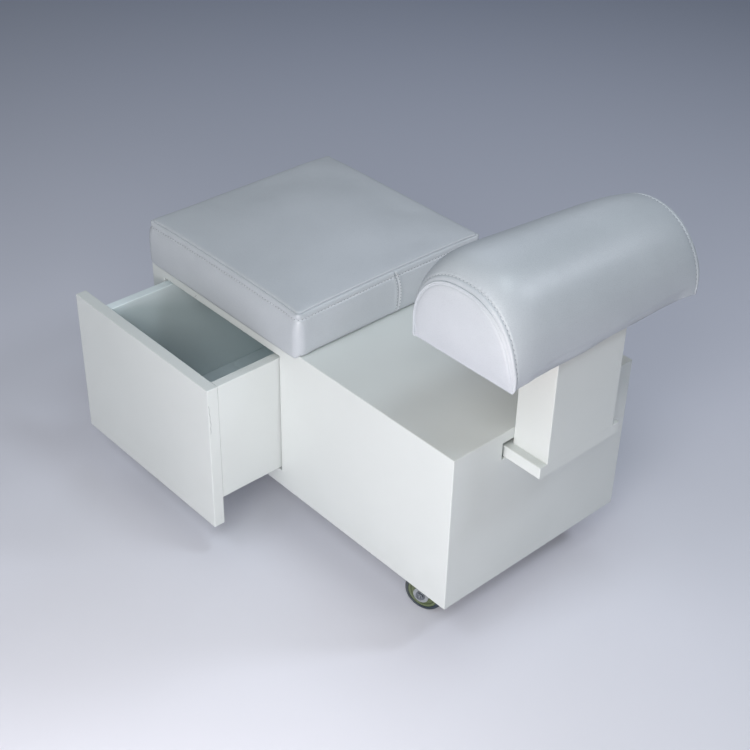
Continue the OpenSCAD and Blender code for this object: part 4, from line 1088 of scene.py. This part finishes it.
ease_tongue()
dress(LACQUER, "tongue_board", "bottom_board", "partition")
dress(LIGHTER_DRAWER_FLOOR, "drawer_bottom")
dress(BARE_WOOD, "tongue_rail_near", "tongue_rail_far", "tongue_stop", "post_cleats", "drawer_guide")
dress(BIRCH_PLY, "seat_board", "bolster_board")
dress(BEECH, "drawer_dowels")
dress(NYLON, "drawer_glides")
dress(ZINC, "seat_screws", "post_screws", "bolster_screws", "caster_screws", "drawer_stop_pegs")
dress(DARK_STEEL, "caster_kingpins")
dress(BALL_STEEL, "caster_balls")
for place_name in PLACES:
    dress(ZINC, "caster_plate_" + place_name, "caster_fork_" + place_name)


# Floor, lamps and camera: the floor's reach in metres, places in bench millimetres, turns in
# degrees
FLOOR_REACH = 9.0
LAMPS_LOOK_AT = (330, 175, 200)
CAMERA_PLACE, CAMERA_LENS, CAMERA_SENSOR = (1595.9, -1004.434, 1414.329), 66.7556, 36.0
CAMERA_AZIMUTH, CAMERA_ELEVATION, CAMERA_ROLL = 47.1754, 34.9787, 1.40595


def make_floor():
    """A pale sheet of paper with faint clouds, painted darker and bluer towards the back as painted
    shade.
    """
    mesh = bpy.data.meshes.new("paper_floor")
    corners = [(x * FLOOR_REACH, y * FLOOR_REACH, 0) for x, y in ((-1, -1), (1, -1), (1, 1), (-1, 1))]
    mesh.from_pydata(corners, [], [(0, 1, 2, 3)])
    floor = bpy.data.objects.new("paper_floor", mesh)
    bpy.context.scene.collection.objects.link(floor)
    material, tree, shader = finish_tree("paper_floor")
    place = object_place(tree)
    parts = add(tree, "ShaderNodeSeparateXYZ", {0: place}).outputs
    sideways = math_node(tree, "MULTIPLY", parts["X"], 0.9)
    depth = math_node(tree, "SUBTRACT", parts["Y"], sideways)
    # Painted shade: the floor darkens and turns bluer away from the near corner, where less light falls.
    far = spread(tree, depth, -1.2, 3.4, 0.0, 1.0)
    base = tint(tree, far, rgb(234, 234, 241), rgb(175, 184, 206))
    cloud = spread(tree, noise(tree, place, 2.4, 3.0), 0.3, 0.75, 0.0, 0.1)
    feed(tree, shader.inputs["Base Color"], tint(tree, cloud, base, rgb(194, 200, 211)))
    feed(tree, shader.inputs["Roughness"], 0.8)
    feed(tree, shader.inputs["Specular IOR Level"], 0.25)
    mesh.materials.append(material)


make_floor()


def soft_lamp(name, place, size, power, colour):
    """A square soft box at a bench point that looks at the middle of the stool. Its size is in
    metres and its power in watts."""
    light = bpy.data.lights.new(name, "AREA")
    light.shape, light.size, light.energy, light.color = "SQUARE", size, power, colour
    lamp = bpy.data.objects.new(name, light)
    lamp.location = to_row(place)
    lamp.rotation_mode = "QUATERNION"
    sight = Vector(to_row(LAMPS_LOOK_AT) - to_row(place))
    lamp.rotation_quaternion = sight.to_track_quat("-Z", "Y")
    bpy.context.scene.collection.objects.link(lamp)


soft_lamp("high_drawer_side_lamp", (300, -1500, 2600), 0.9, 8.9, (0.88, 0.9, 1.0))
soft_lamp("near_corner_lamp", (1300, -1300, 1500), 1.0, 16.0, (0.98, 1.0, 0.96))
soft_lamp("low_corner_lamp", (1100, -1000, 400), 0.5, 7.9, (1.0, 0.92, 0.93))
soft_lamp("footrest_top_lamp", (900, 300, 1900), 0.35, 4.1, (0.84, 0.94, 1.0))
soft_lamp("far_corner_lamp", (1675, 1407, 2018), 0.4, 11.2, (0.86, 0.9, 1.0))
soft_lamp("rear_corner_lamp", (-900, 1500, 2000), 1.2, 6.2, (0.82, 0.86, 1.0))


def make_world():
    """The even light of the room."""
    world = bpy.data.worlds.new("studio_air")
    world.use_nodes = True
    air = world.node_tree.nodes["Background"]
    feed(world.node_tree, air.inputs["Color"], (0.94, 0.98, 0.98, 1.0))
    feed(world.node_tree, air.inputs["Strength"], 0.152)
    bpy.context.scene.world = world


def make_camera():
    """The photograph's camera: its place, lens and turn were fitted to the box's edges."""
    azimuth, elevation, roll = np.radians([CAMERA_AZIMUTH, CAMERA_ELEVATION, CAMERA_ROLL])
    back = np.array([np.sin(azimuth) * np.cos(elevation), -np.cos(azimuth) * np.cos(elevation),
                     np.sin(elevation)])
    level = np.cross(-back, [0.0, 0.0, 1.0])
    level /= np.linalg.norm(level)
    above = np.cross(level, -back)
    right = np.cos(roll) * level + np.sin(roll) * above
    up = -np.sin(roll) * level + np.cos(roll) * above
    data = bpy.data.cameras.new("photo_camera")
    data.lens, data.sensor_width = CAMERA_LENS, CAMERA_SENSOR
    camera = bpy.data.objects.new("photo_camera", data)
    turn = Matrix(np.stack([right, up, back], axis=1).tolist()).to_4x4()
    camera.matrix_world = Matrix.Translation(to_row(CAMERA_PLACE).tolist()) @ turn
    bpy.context.scene.collection.objects.link(camera)
    bpy.context.scene.camera = camera


make_world()
make_camera()
bpy.context.scene.view_settings.view_transform = "Standard"
